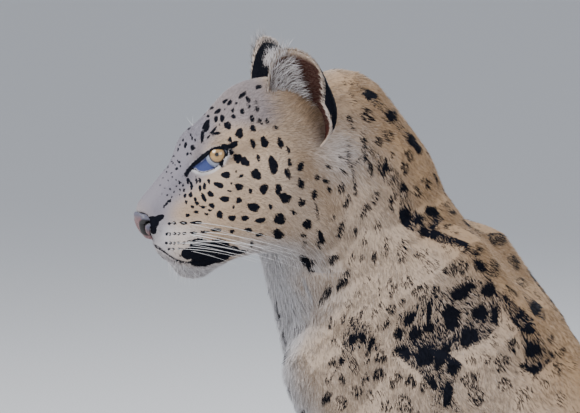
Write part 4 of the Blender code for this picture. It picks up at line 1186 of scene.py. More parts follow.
@lru_cache(maxsize=None)
def coat_group():
    """Mixes the coat's colour from its markings, with painted shade at the tufts' roots, a painted bluish sheen on the
    face and a painted reflection on the third lid, and gives a fine grain for the bump.
    """
    tree = bpy.data.node_groups.new("coat colour", "ShaderNodeTree")
    sockets = tree.interface
    for name in ("Dark", "Core", "Pale", "Warm", "Tone and root shade", "Grey and sheen", "Third lid reflection", "Ear"):
        sockets.new_socket(name, in_out="INPUT", socket_type="NodeSocketFloat")
    for name in ("Tan colour", "Warm colour", "Pale colour", "Black colour", "Grey and sheen colour", "Third lid reflection colour", "Ear colour"):
        sockets.new_socket(name, in_out="INPUT", socket_type="NodeSocketColor")
    sockets.new_socket("Colour", in_out="OUTPUT", socket_type="NodeSocketColor")
    sockets.new_socket("Grain", in_out="OUTPUT", socket_type="NodeSocketFloat")
    given = node(tree, "NodeGroupInput")
    result = node(tree, "NodeGroupOutput")
    where = node(tree, "ShaderNodeTexCoord")
    link = tree.links.new

    ragged = node(tree, "ShaderNodeTexNoise")
    ragged.inputs["Scale"].default_value = 520.0
    ragged.inputs["Detail"].default_value = 3.0
    link(where.outputs["Object"], ragged.inputs["Vector"])
    fray = node(tree, "ShaderNodeMath", operation="MULTIPLY_ADD")
    fray.inputs[1].default_value = 0.0032
    fray.inputs[2].default_value = -0.0016
    link(ragged.outputs["Fac"], fray.inputs[0])
    edge = node(tree, "ShaderNodeMath", operation="ADD")
    link(given.outputs["Dark"], edge.inputs[0])
    link(fray.outputs[0], edge.inputs[1])
    spot = node(tree, "ShaderNodeMapRange", interpolation_type="SMOOTHSTEP")
    spot.inputs["From Min"].default_value = -0.0004
    spot.inputs["From Max"].default_value = 0.0005
    link(edge.outputs[0], spot.inputs["Value"])

    broad = node(tree, "ShaderNodeTexNoise")
    broad.inputs["Scale"].default_value = 26.0
    broad.inputs["Detail"].default_value = 3.0
    link(where.outputs["Object"], broad.inputs["Vector"])
    warmth = node(tree, "ShaderNodeMath", operation="MULTIPLY_ADD", use_clamp=True)
    warmth.inputs[1].default_value = 0.5
    link(broad.outputs["Fac"], warmth.inputs[0])
    lower = node(tree, "ShaderNodeMath", operation="ADD")
    lower.inputs[1].default_value = -0.25
    link(given.outputs["Warm"], lower.inputs[0])
    link(lower.outputs[0], warmth.inputs[2])
    ground = node(tree, "ShaderNodeMix", data_type="RGBA")
    link(warmth.outputs[0], ground.inputs["Factor"])
    link(given.outputs["Tan colour"], ground.inputs["A"])
    link(given.outputs["Warm colour"], ground.inputs["B"])
    cored = node(tree, "ShaderNodeMix", data_type="RGBA")
    deep = node(tree, "ShaderNodeMath", operation="MULTIPLY")
    deep.inputs[1].default_value = 0.55
    link(given.outputs["Core"], deep.inputs[0])
    link(deep.outputs[0], cored.inputs["Factor"])
    link(ground.outputs["Result"], cored.inputs["A"])
    link(given.outputs["Warm colour"], cored.inputs["B"])
    # Grey mix: the coat's grey-brown, partly painted bluish sheen of the light
    grey_and_sheen_mix = node(tree, "ShaderNodeMix", data_type="RGBA")
    link(given.outputs["Grey and sheen"], grey_and_sheen_mix.inputs["Factor"])
    link(cored.outputs["Result"], grey_and_sheen_mix.inputs["A"])
    link(given.outputs["Grey and sheen colour"], grey_and_sheen_mix.inputs["B"])
    ticked = node(tree, "ShaderNodeMath", operation="MULTIPLY_ADD", use_clamp=True)
    ticked.inputs[1].default_value = 0.26
    link(given.outputs["Tone and root shade"], ticked.inputs[0])
    link(given.outputs["Pale"], ticked.inputs[2])
    light = node(tree, "ShaderNodeMix", data_type="RGBA")
    link(ticked.outputs[0], light.inputs["Factor"])
    link(grey_and_sheen_mix.outputs["Result"], light.inputs["A"])
    link(given.outputs["Pale colour"], light.inputs["B"])
    # Tone scales the colour: random tone per tuft and lock, and painted shade that darkens each tuft towards its root.
    # The skin and ear shells carry no tone, read zero, and are darkened a little as painted shade under the coat.
    shade = node(tree, "ShaderNodeMapRange")
    shade.inputs["From Min"].default_value = -1.0
    shade.inputs["To Min"].default_value = 0.40
    shade.inputs["To Max"].default_value = 1.15
    link(given.outputs["Tone and root shade"], shade.inputs["Value"])
    hollow = node(tree, "ShaderNodeMix", data_type="RGBA")
    link(given.outputs["Ear"], hollow.inputs["Factor"])
    link(light.outputs["Result"], hollow.inputs["A"])
    link(given.outputs["Ear colour"], hollow.inputs["B"])
    toned = node(tree, "ShaderNodeVectorMath", operation="SCALE")
    link(hollow.outputs["Result"], toned.inputs[0])
    link(shade.outputs["Result"], toned.inputs["Scale"])
    spotted = node(tree, "ShaderNodeMix", data_type="RGBA")
    link(spot.outputs["Result"], spotted.inputs["Factor"])
    link(toned.outputs["Vector"], spotted.inputs["A"])
    link(given.outputs["Black colour"], spotted.inputs["B"])
    # The third lid at the inner corner: dark, with a painted bluish reflection
    third_lid_reflection = node(tree, "ShaderNodeMix", data_type="RGBA")
    link(given.outputs["Third lid reflection"], third_lid_reflection.inputs["Factor"])
    link(spotted.outputs["Result"], third_lid_reflection.inputs["A"])
    link(given.outputs["Third lid reflection colour"], third_lid_reflection.inputs["B"])
    link(third_lid_reflection.outputs["Result"], result.inputs["Colour"])
    link(ragged.outputs["Fac"], result.inputs["Grain"])
    return tree


@lru_cache(maxsize=None)
def coat_material(name, roughness):
    """Spotted fur, coloured by the attributes that the mesh carries."""
    material = bpy.data.materials.new(name)
    material.use_nodes = True
    tree = material.node_tree
    shader = tree.nodes["Principled BSDF"]
    shader.inputs["Roughness"].default_value = roughness
    shader.inputs["Specular IOR Level"].default_value = 0.10
    group = node(tree, "ShaderNodeGroup", node_tree=coat_group())
    for socket, attribute in (("Dark", "dark"), ("Core", "core"), ("Pale", "pale"), ("Warm", "warm"), ("Tone and root shade", "tone_and_root_shade"), ("Grey and sheen", "grey_and_sheen"), ("Third lid reflection", "third_lid_reflection"), ("Ear", "ear")):
        source = node(tree, "ShaderNodeAttribute", attribute_name=attribute)
        tree.links.new(source.outputs["Fac"], group.inputs[socket])
    chosen = colours()
    for socket, colour in (
        ("Tan colour", chosen.tan),
        ("Warm colour", chosen.warm),
        ("Pale colour", chosen.pale),
        ("Black colour", chosen.black),
        ("Grey and sheen colour", chosen.grey_and_sheen),
        ("Third lid reflection colour", chosen.third_lid_reflection),
        ("Ear colour", chosen.ear),
    ):
        group.inputs[socket].default_value = (*colour, 1.0)
    tree.links.new(group.outputs["Colour"], shader.inputs["Base Color"])
    bump = node(tree, "ShaderNodeBump")
    bump.inputs["Strength"].default_value = 0.35
    bump.inputs["Distance"].default_value = 0.0008
    tree.links.new(group.outputs["Grain"], bump.inputs["Height"])
    tree.links.new(bump.outputs["Normal"], shader.inputs["Normal"])
    return material


def plain_material(name, colour, roughness, **settings):
    """A material of one colour with a fine mottle."""
    material = bpy.data.materials.new(name)
    material.use_nodes = True
    tree = material.node_tree
    shader = tree.nodes["Principled BSDF"]
    shader.inputs["Roughness"].default_value = roughness
    for socket, value in settings.items():
        shader.inputs[socket.replace("_", " ")].default_value = value
    where = node(tree, "ShaderNodeTexCoord")
    noise = node(tree, "ShaderNodeTexNoise")
    noise.inputs["Scale"].default_value = 300.0
    tree.links.new(where.outputs["Object"], noise.inputs["Vector"])
    ramp = node(tree, "ShaderNodeMapRange")
    ramp.inputs["To Min"].default_value = 0.8
    ramp.inputs["To Max"].default_value = 1.2
    tree.links.new(noise.outputs["Fac"], ramp.inputs["Value"])
    scaled = node(tree, "ShaderNodeVectorMath", operation="SCALE")
    scaled.inputs[0].default_value = colour
    tree.links.new(ramp.outputs["Result"], scaled.inputs["Scale"])
    tree.links.new(scaled.outputs["Vector"], shader.inputs["Base Color"])
    return material


def sown(mesh, spacing_at, stream):
    """Seeded places on the mesh: point, normal and patch of the unwrap, spread by the wanted spacing."""
    mesh.calc_loop_triangles()
    count = len(mesh.loop_triangles)
    corners = np.empty(count * 3, np.int32)
    mesh.loop_triangles.foreach_get("vertices", corners)
    corners = corners.reshape(-1, 3)
    loops = np.empty(count * 3, np.int32)
    mesh.loop_triangles.foreach_get("loops", loops)
    loops = loops.reshape(-1, 3)
    uv = np.empty(len(mesh.loops) * 2)
    mesh.uv_layers["OFBake"].data.foreach_get("uv", uv)
    uv = uv.reshape(-1, 2)
    points, normals = places(mesh), facings(mesh)
    a, b, c = (points[corners[:, k]] for k in range(3))
    area = np.linalg.norm(np.cross(b - a, c - a), axis=1) / 2
    middle = (a + b + c) / 3
    facing = unit(normals[corners].mean(1))
    wanted = area / spacing_at(middle, facing) ** 2
    total = np.cumsum(wanted)
    places_along = (np.arange(int(total[-1])) + stream.uniform(0, 1, int(total[-1]))) * (total[-1] / int(total[-1]))
    face = np.minimum(np.searchsorted(total, places_along), count - 1)
    r, s = stream.uniform(0, 1, (2, len(face)))
    flip = r + s > 1
    r, s = np.where(flip, 1 - r, r), np.where(flip, 1 - s, s)
    weights = np.column_stack((1 - r - s, r, s))
    place = np.einsum("nk,nkd->nd", weights, points[corners[face]])
    normal = unit(np.einsum("nk,nkd->nd", weights, normals[corners[face]]))
    patch = np.einsum("nk,nkd->nd", weights, uv[loops[face]])
    return place, normal, patch, corners[face], weights


def rotated(vectors, axes, angles):
    """Each vector turned about its own unit axis, to which it is square."""
    return vectors * np.cos(angles)[:, None] + np.cross(axes, vectors) * np.sin(angles)[:, None]


def tufts(name, roots, normals, ways, lengths, widths, lifts, patch, values, bent):
    """Tapered, flattened tufts as one mesh. A bent one has a middle ring, and lies down towards its tip."""
    count = len(roots)
    side = np.cross(normals, ways)
    thick = widths * 0.45
    deep = np.minimum(0.35 * lengths * np.sin(lifts) + 0.0004, 0.0012)
    root = roots - normals * deep[:, None]
    ring = [root - side * (widths / 2)[:, None], root + side * (widths / 2)[:, None], root + normals * thick[:, None]]
    rise = ways * np.cos(lifts)[:, None] + normals * np.sin(lifts)[:, None]
    if bent:
        first = ways * np.cos(lifts * 1.35)[:, None] + normals * np.sin(lifts * 1.35)[:, None]
        last = ways * np.cos(lifts * 0.55)[:, None] + normals * np.sin(lifts * 0.55)[:, None]
        knee = root + first * (lengths * 0.5)[:, None]
        ring += [
            knee - side * (widths * 0.40)[:, None],
            knee + side * (widths * 0.40)[:, None],
            knee + normals * (thick * 0.7)[:, None],
            knee + last * (lengths * 0.55)[:, None],
        ]
        faces = [
            (0, 1, 4), (0, 4, 3), (1, 2, 5), (1, 5, 4), (2, 0, 3), (2, 3, 5), (3, 4, 6), (4, 5, 6), (5, 3, 6), (0, 2, 1),
        ]
        along = (0, 0, 0, 0.5, 0.5, 0.5, 1)
    else:
        ring.append(root + rise * lengths[:, None])
        faces = [(0, 1, 3), (1, 2, 3), (2, 0, 3), (0, 2, 1)]
        along = (0, 0, 0, 1)
    corners = len(ring)
    points = np.stack(ring, axis=1).reshape(-1, 3)
    points[:, 2] = np.maximum(points[:, 2], 0.0006)
    triangles = (np.array(faces)[None] + (np.arange(count) * corners)[:, None, None]).reshape(-1, 3)
    mesh = bpy.data.meshes.new(name)
    mesh.vertices.add(len(points))
    mesh.vertices.foreach_set("co", points.astype(np.float32).ravel())
    mesh.loops.add(len(triangles) * 3)
    mesh.loops.foreach_set("vertex_index", triangles.astype(np.int32).ravel())
    mesh.polygons.add(len(triangles))
    mesh.polygons.foreach_set("loop_start", (np.arange(len(triangles)) * 3).astype(np.int32))
    mesh.update(calc_edges=True)
    layer = mesh.uv_layers.new(name="OFBake")
    around = np.array([(math.cos(k * 2.4), math.sin(k * 2.4)) for k in range(corners)]) * 0.0015
    flat = (patch[:, None, :] + around[None]).reshape(-1, 2)
    layer.data.foreach_set("uv", flat[triangles.ravel()].astype(np.float32).ravel())
    step = (np.array(along) * 2).astype(int)
    put_values(mesh, {
        key: np.repeat(value, corners) if value.ndim == 1 else value[:, step].ravel() for key, value in values.items()
    })
    mesh.shade_smooth()
    soft = unit(facings(mesh) * 0.65 + np.repeat(normals, corners, axis=0) * 0.35)
    mesh.normals_split_custom_set_from_vertices(soft.astype(np.float32))
    shape = bpy.data.objects.new(name, mesh)
    bpy.context.scene.collection.objects.link(shape)
    return shape


def bare(points, normals):
    """Where no hair grows: the opening of each eye, the nose leather and the line of the mouth."""
    local = in_head(points)
    result = np.zeros(len(points), bool)
    for side in SIDES:
        centre, slant, across, out = eye_axes(side)
        offset = (local - centre) * 1000
        x, y = offset @ slant, offset @ across
        near = np.flatnonzero((offset @ out > -2) & (np.hypot(x, y) < 40))
        result[near] |= outline_gap(x[near], y[near]) < 0.9
    nose = np.linalg.norm((local - (0.250, 0.0, -0.076)) / (0.017, 0.022, 0.018), axis=1) < 1.0
    head = np.flatnonzero(headness(points) > 0.3)
    result |= nose
    result[head] |= path_gap(points[head], mouth_path()) < 0.0012
    return result


def clumps(roots, ways, lengths, stream):
    """From -1 to 1, alike for tufts that lie together in one lock of hair."""
    along = ways * (lengths * stream.uniform(-0.8, 0.8, len(roots)))[:, None]
    cell = np.floor((roots + along) / np.clip(0.25 * lengths, 0.0012, 0.004).mean()).astype(np.int64)
    mixed = (cell[:, 0] * 73856093) ^ (cell[:, 1] * 19349663) ^ (cell[:, 2] * 83492791)
    return (mixed % 1009) / 504.5 - 1.0


def coat_pieces(name, region, spacing, bent, stream, slender, fray):
    """Sows one region of the skin and dresses it, in pieces of a bearable size."""
    skin = bpy.data.objects["skin"].data
    roots, normals, patch, _, _ = sown(skin, lambda points, facing: spacing_in(points, facing, region, spacing), stream)
    keep = ~bare(roots, normals)
    roots, normals, patch = roots[keep], normals[keep], patch[keep]
    ways, length = coat_at(roots, normals)
    values = coat_values(roots, normals)
    length = np.minimum(length, SHORT_COAT + LONG_COAT * values["pale"])
    count = len(roots)
    swirl = 0.22 * np.sin(roots @ np.array((61.0, 47.0, 53.0))) + 0.16 * np.sin(roots @ np.array((-97.0, 83.0, 71.0)) + 1.3)
    ways = rotated(ways, normals, swirl + stream.normal(0, 0.16, count))
    lengths = length * stream.uniform(0.75, 1.2, count)
    stands = coat_depth(length) * stream.uniform(0.7, 1.25, count)
    clump = clumps(roots, ways, lengths, stream)
    lifts = np.arcsin(np.clip(stands / lengths, 0.05, 0.8)) * (1 + 0.35 * clump)
    slip = ways * stream.normal(0, fray, count)[:, None]
    reach = ways * (lengths * np.cos(lifts) * SHOWN_SHARE)[:, None]
    values["dark"], values["core"] = darkness(roots + slip + reach, normals)
    # Random tone per tuft and lock, plus painted shade at the root that fades towards the tip
    tone_and_root_shade = (stream.normal(0, 0.35, count) + 0.45 * clump)[:, None] + np.array(ROOT_SHADE_TO_TIP)
    values["tone_and_root_shade"] = np.clip(tone_and_root_shade, -1, 1).astype(np.float32)
    widths = slender * (0.55 + 0.035 * lengths * 1000) / 1000 * stream.uniform(0.75, 1.25, count)
    most = 19000 if bent else 48000
    parts = math.ceil(count / most)
    order = np.argsort(roots[:, 2], kind="stable")
    for k, rows in enumerate(np.array_split(order, parts)):
        piece = tufts(
            f"{name}_{k + 1}", roots[rows], normals[rows], ways[rows], lengths[rows], widths[rows], lifts[rows],
            patch[rows], {key: value[rows] for key, value in values.items()}, bent,
        )
        piece.data.materials.append(coat_material("fur", 0.62))
        ride_as(piece, "coat")
    print(name, count, "tufts in", parts)


def spacing_in(points, facing, region, spacing):
    """The wanted spacing inside a region, and a huge one outside it."""
    head = headness(points)
    body = in_body(points)
    front = (head <= 0.5) & (body[:, 2] > 0.36) & (body[:, 0] < 0.16)
    inside = {"head": head > 0.5, "front": front, "rest": (head <= 0.5) & ~front}[region]
    under = (points[:, 2] < 0.003) & (facing[:, 2] < -0.7)
    return np.where(inside & ~under, spacing, 1.0)


class LEOPARD_OT_coat(bpy.types.Operator):
    """Tufts of hair over the whole skin, small and dense on the face, long on the chest"""

    bl_idname = "leopard.coat"
    bl_label = "Coat"

    def execute(self, context):
        stream = np.random.default_rng(21)
        sizes = coat_sizes()
        coat_pieces("coat_head", "head", sizes.head_spacing, False, stream, 1.25, 0.0005)
        coat_pieces("coat_front", "front", sizes.neck_spacing, False, stream, 1.35, 0.0005)
        coat_pieces("coat_body", "rest", sizes.body_spacing, False, stream, 1.8, 0.0008)
        return {"FINISHED"}


def ear_rise(s, t):
    """How far a point of the ear stands above its base: the top edge is a low arch."""
    lean = (s - EAR_PEAK) / np.where(s > EAR_PEAK, 1.0 - EAR_PEAK, 1.0 + EAR_PEAK)
    top = EAR_HEIGHT * (1.0 - EAR_ARCH * lean**2)
    return -EAR_SUNK + (top + EAR_SUNK) * t


def ear_turn(s):
    """The way round the cup, which wraps further behind than in front."""
    return np.radians(EAR_TURN_DEG[0] + EAR_TURN_DEG[1] * s)


def ear_swell(t):
    """How wide it is at a height: it draws in to its root, and a little to its tip."""
    low = 0.5 + 0.5 * np.sin(np.pi / 2 * np.minimum(t / EAR_WIDEST, 1.0))
    high = 1.0 - 0.14 * (np.maximum(t - EAR_WIDEST, 0.0) / (1.0 - EAR_WIDEST)) ** 2
    return np.where(t < EAR_WIDEST, low, high)


def ear_axes(side):
    base, up, facing = EARS[side]
    facing = (facing - up * facing.dot(up)).normalized()
    across = up.cross(facing) * (1 if side == "left" else -1)
    return np.array(base), np.array(up), np.array(facing), np.array(across)


def ear_surface(side, s, t):
    """Points of the cup in the shared frame, and the way out of the cup at each."""
    base, up, facing, across = ear_axes(side)
    turn, swell = ear_turn(s), ear_swell(t)
    reach = EAR_HALF_WIDTH * np.sin(turn) * swell
    cup = EAR_DEPTH * np.cos(turn) * swell * (1.0 - 0.5 * t) - 0.004
    local = base + np.outer(ear_rise(s, t), up) + np.outer(reach, across) - np.outer(cup, facing)
    out = np.outer(reach, across) - np.outer(cup + 0.004, facing)
    return from_head(local), unit(turned_from_head(out))


def ear_values(s, t, outer):
    """Black back with a pale patch and a tan rim, and warm dark brown inside."""
    rim = smooth_step(0.90, 0.97, np.maximum(np.abs(s), t))
    patch = np.hypot(s / 0.55, (t - 0.76) / 0.10)
    low = smooth_step(0.30, 0.18, t)
    black = 0.008 * np.minimum(patch - 1.0, 1.0) - 0.012 * low - 0.010 * rim
    dark = np.where(outer, black, -0.01)
    inside = (1 - rim) * ~outer
    blank = np.zeros(len(s))
    return {
        "dark": dark.astype(np.float32),
        "core": blank.astype(np.float32),
        "pale": np.where(outer, np.where(patch < 1.3, 0.70, 0.3), 0.15 * (1 - inside)).astype(np.float32),
        "warm": np.where(outer, 0.1, 0.4 * rim).astype(np.float32),
        "grey_and_sheen": blank.astype(np.float32),
        "third_lid_reflection": blank.astype(np.float32),
        "ear": inside.astype(np.float32),
    }


class LEOPARD_OT_ears(bpy.types.Operator):
    """Cupped ears with a tan rim, black behind with a pale patch, furred inside and out"""

    bl_idname = "leopard.ears"
    bl_label = "Ears"

    def execute(self, context):
        for side in SIDES:
            stream = np.random.default_rng(31 if side == "left" else 32)
            ear = self.shell(side)
            self.fur(side, ear.data, stream)
        return {"FINISHED"}

    def shell(self, side):
        bm = bmesh.new()
        bmesh.ops.create_grid(bm, x_segments=52, y_segments=40, size=1.0)
        flat = np.array([tuple(vert.co) for vert in bm.verts])
        s, t = flat[:, 0], (flat[:, 1] + 1) / 2
        places_on, _ = ear_surface(side, s, t)
        for vert, place in zip(bm.verts, places_on):
            vert.co = place
        ear = finished(bm, f"ear_shell_{side}")
        put_values(ear.data, {"round": s, "high": t})
        wall = ear.modifiers.new("wall", "SOLIDIFY")
        wall.thickness = EAR_WALL
        wall.offset = 0.0
        baked(ear)
        bm = bmesh.new()
        bm.from_mesh(ear.data)
        bmesh.ops.recalc_face_normals(bm, faces=bm.faces)
        bm.to_mesh(ear.data)
        bm.free()
        ear.data.shade_smooth()
        unwrapped(ear)
        s, t = (read_values(ear.data, name) for name in ("round", "high"))
        middle, out = ear_surface(side, s, t)
        outer = ((places(ear.data) - middle) * out).sum(1) > 0
        put_values(ear.data, ear_values(s, t, outer))
        ear.data.materials.append(coat_material("skin", 0.82))
        return ride_as(ear, "coat", f"ear_{side}")

    def fur(self, side, mesh, stream):
        """Short hair on the back and rim, long pale hair from the front edge across the cup."""
        roots, normals, patch, corners, weights = sown(mesh, lambda middle, facing: np.full(len(middle), 0.00125), stream)
        s, t = ((read_values(mesh, name)[corners] * weights).sum(1) for name in ("round", "high"))
        middle, out = ear_surface(side, s, t)
        outer = ((roots - middle) * out).sum(1) > 0
        step = 0.01
        rise = unit(ear_surface(side, s, t + step)[0] - middle)
        back = unit(ear_surface(side, np.minimum(s + step, 1.0), t)[0] - ear_surface(side, s - step, t)[0])
        rim = np.maximum(np.abs(s), t) > 0.90
        front = ~outer & (s < -0.25) & (stream.uniform(0, 1, len(s)) < 0.5)
        keep = (t > 0.16) & (outer | rim | front | (stream.uniform(0, 1, len(s)) < 0.6))
        ways = np.where((outer | rim)[:, None], rise + 0.25 * back, 0.35 * rise + back)
        ways -= normals * (ways * normals).sum(1, keepdims=True)
        ways = rotated(unit(ways), normals, stream.normal(0, 0.22, len(s)))
        lengths = np.where(front, 0.021, np.where(outer, 0.0075, np.where(rim, 0.0045, 0.008)))
        lengths = lengths * stream.uniform(0.7, 1.2, len(s))
        lifts = np.where(front, 0.5, np.where(outer, 0.13, 0.28)) * stream.uniform(0.7, 1.3, len(s))
        values = ear_values(s, t, outer)
        values["ear"] = np.where(front, 0.0, values["ear"] * 0.9).astype(np.float32)
        values["pale"] = np.where(front, 0.8, values["pale"]).astype(np.float32)
        # Random tone per tuft, plus painted shade at the root that fades towards the tip
        tone_and_root_shade = stream.normal(0, 0.5, len(s))[:, None] + np.array(ROOT_SHADE_TO_TIP)
        values["tone_and_root_shade"] = np.clip(tone_and_root_shade, -1, 1).astype(np.float32)
        widths = np.where(front, 0.00055, 0.00075) * stream.uniform(0.8, 1.2, len(s))
        piece = tufts(
            f"ear_fur_{side}", roots[keep], normals[keep], ways[keep], lengths[keep], widths[keep], lifts[keep],
            patch[keep], {key: value[keep] for key, value in values.items()}, True,
        )
        piece.data.materials.append(coat_material("fur", 0.62))
        ride_as(piece, "coat")


def read_values(mesh, name):
    numbers = np.empty(len(mesh.vertices), np.float32)
    mesh.attributes[name].data.foreach_get("value", numbers)
    return numbers


class LEOPARD_OT_eyes(bpy.types.Operator):
    """Wet eyeballs with an amber iris and a small round pupil"""

    bl_idname = "leopard.eyes"
    bl_label = "Eyes"

    def execute(self, context):
        for side, gaze in (("left", 66.0), ("right", 14.0)):
            centre = np.array(node_middle(f"eye_{side}"))
            angle = math.radians(gaze)
            look = Vector(turned_from_head(np.array(((math.cos(angle), math.sin(angle), 0.10),)))[0]).normalized()
            bm = bmesh.new()
            bmesh.ops.create_uvsphere(bm, u_segments=64, v_segments=64, radius=EYE_RADIUS)
            turn = look.to_track_quat("Z", "Y").to_matrix().to_4x4()
            cap = []
            for vert in bm.verts:
                tilt = math.degrees(math.acos(max(-1, min(1, vert.co.z / EYE_RADIUS))))
                bulge = 0.0014 * math.exp(-((tilt / 26.0) ** 2))
                cap.append(tilt)
                vert.co += vert.co.normalized() * bulge
            bmesh.ops.transform(bm, matrix=Matrix.Translation(centre) @ turn, verts=bm.verts)
            eye = finished(bm, f"eyeball_{side}")
            eye.data.shade_smooth()
            put_values(eye.data, {"tilt": np.array(cap, np.float32)})
            eye.data.materials.append(eye_material())
            ride_as(eye, "eye", f"eye_{side}")
        return {"FINISHED"}


@lru_cache(maxsize=None)
def eye_material():
    """Amber iris with a dark edge, round pupil and bluish white, under a wet gloss."""
    material = bpy.data.materials.new("eye")
    material.use_nodes = True
    tree = material.node_tree
    shader = tree.nodes["Principled BSDF"]
    shader.inputs["Roughness"].default_value = 0.12
    shader.inputs["Coat Weight"].default_value = 1.0
    shader.inputs["Coat Roughness"].default_value = 0.02
    tilt = node(tree, "ShaderNodeAttribute", attribute_name="tilt")
    share = node(tree, "ShaderNodeMath", operation="DIVIDE")
    share.inputs[1].default_value = 90.0
    tree.links.new(tilt.outputs["Fac"], share.inputs[0])
    ramp = node(tree, "ShaderNodeValToRGB")
    iris = tuple(colours().iris)
    stops = (
        (0.000, (0.004, 0.004, 0.005)),
        (0.075, (0.004, 0.004, 0.005)),
        (0.090, tuple(0.55 * part for part in iris)),
        (0.160, iris),
        (0.300, tuple(0.85 * part for part in iris)),
        (0.345, (0.10, 0.06, 0.03)),
        (0.375, (0.01, 0.01, 0.012)),
        (0.410, (0.01, 0.01, 0.012)),
        (0.450, (0.30, 0.34, 0.45)),
    )
    elements = ramp.color_ramp.elements
    for place, colour in stops[1:-1]:
        elements.new(place).color = (*colour, 1.0)
    elements[0].position, elements[0].color = stops[0][0], (*stops[0][1], 1.0)
    elements[-1].position, elements[-1].color = stops[-1][0], (*stops[-1][1], 1.0)
    tree.links.new(share.outputs[0], ramp.inputs["Fac"])
    tree.links.new(ramp.outputs["Color"], shader.inputs["Base Color"])
    return material


class LEOPARD_OT_nose(bpy.types.Operator):
    """Nose leather, broad above and narrowing to the split lip, with two nostrils"""

    bl_idname = "leopard.nose"
    bl_label = "Nose"

    def execute(self, context):
        rows = leather_places()
        s, t = rows[:, 6], rows[:, 7]
        local = in_head(rows[:, :3])
        left, up = np.abs(local[:, 1]), local[:, 2]
        slot = path_gap(np.column_stack((left, up, np.zeros(len(left)))), np.array(NOSTRIL_LINE))
        comma = np.exp(-((slot / 0.0021) ** 2))
        wing = np.exp(-(((slot - 0.0048) / 0.0024) ** 2)) * 0.0013
        edge = 1 - smooth_step(0.80, 1.0, np.maximum(np.abs(s), np.abs(2 * t - 1)))
        crease = np.exp(-((local[:, 1] / 0.0010) ** 2)) * 0.0014 * smooth_step(0.25, 0.5, t)
        rise = -0.0006 + 0.0019 * edge + wing * edge - 0.0062 * comma - crease
        shown = rows[:, :3] + rows[:, 3:6] * rise[:, None]
        wide, high = LEATHER_CELLS
        bm = bmesh.new()
        bmesh.ops.create_grid(bm, x_segments=wide, y_segments=high, size=1.0)
        for vert in bm.verts:
            column, row = round((vert.co.x + 1) / 2 * wide), round((1 - vert.co.y) / 2 * high)
            vert.co = shown[row * (wide + 1) + column]
        bmesh.ops.reverse_faces(bm, faces=bm.faces)
        nose = finished(bm, "nose_leather")
        wall = nose.modifiers.new("wall", "SOLIDIFY")
        wall.thickness = 0.0022
        wall.offset = -1.0
        baked(nose)
        bm = bmesh.new()
        bm.from_mesh(nose.data)
        bmesh.ops.recalc_face_normals(bm, faces=bm.faces)
        bm.to_mesh(nose.data)
        bm.free()
        nose.data.shade_smooth()
        points = in_head(places(nose.data))
        slot = path_gap(np.column_stack((np.abs(points[:, 1]), points[:, 2], np.zeros(len(points)))), np.array(NOSTRIL_LINE))
        put_values(nose.data, {
            # Painted shade: how far a point lies within a nostril's dark
            "nostril_shade": smooth_step(0.0042, 0.0022, slot),
            "rim": smooth_step(-0.069, -0.061, points[:, 2]) + smooth_step(0.013, 0.018, np.abs(points[:, 1])),
        })
        nose.data.materials.append(leather_material())
        ride_as(nose, "nose", "nose")
        return {"FINISHED"}


def leather_material():
    """Pebbled leather, pink-brown in front and bluish grey round its edge, with painted shade darkening the nostrils.
    """
    material = plain_material("nose leather", tuple(colours().nose), 0.38)
    tree = material.node_tree
    shader = tree.nodes["Principled BSDF"]
    base = shader.inputs["Base Color"].links[0].from_socket
    for attribute, colour in (("rim", LEATHER_RIM), ("nostril_shade", NOSTRIL_SHADE_BLACK)):
        mix = node(tree, "ShaderNodeMix", data_type="RGBA", clamp_factor=True)
        source = node(tree, "ShaderNodeAttribute", attribute_name=attribute)
        tree.links.new(source.outputs["Fac"], mix.inputs["Factor"])
        tree.links.new(base, mix.inputs["A"])
        mix.inputs["B"].default_value = (*colour, 1.0)
        base = mix.outputs["Result"]
    tree.links.new(base, shader.inputs["Base Color"])
    where = node(tree, "ShaderNodeTexCoord")
    pebbles = node(tree, "ShaderNodeTexVoronoi")
    pebbles.inputs["Scale"].default_value = 900.0
    tree.links.new(where.outputs["Object"], pebbles.inputs["Vector"])
    bump = node(tree, "ShaderNodeBump")
    bump.inputs["Strength"].default_value = 0.5
    bump.inputs["Distance"].default_value = 0.0005
    tree.links.new(pebbles.outputs["Distance"], bump.inputs["Height"])
    tree.links.new(bump.outputs["Normal"], shader.inputs["Normal"])
    return material


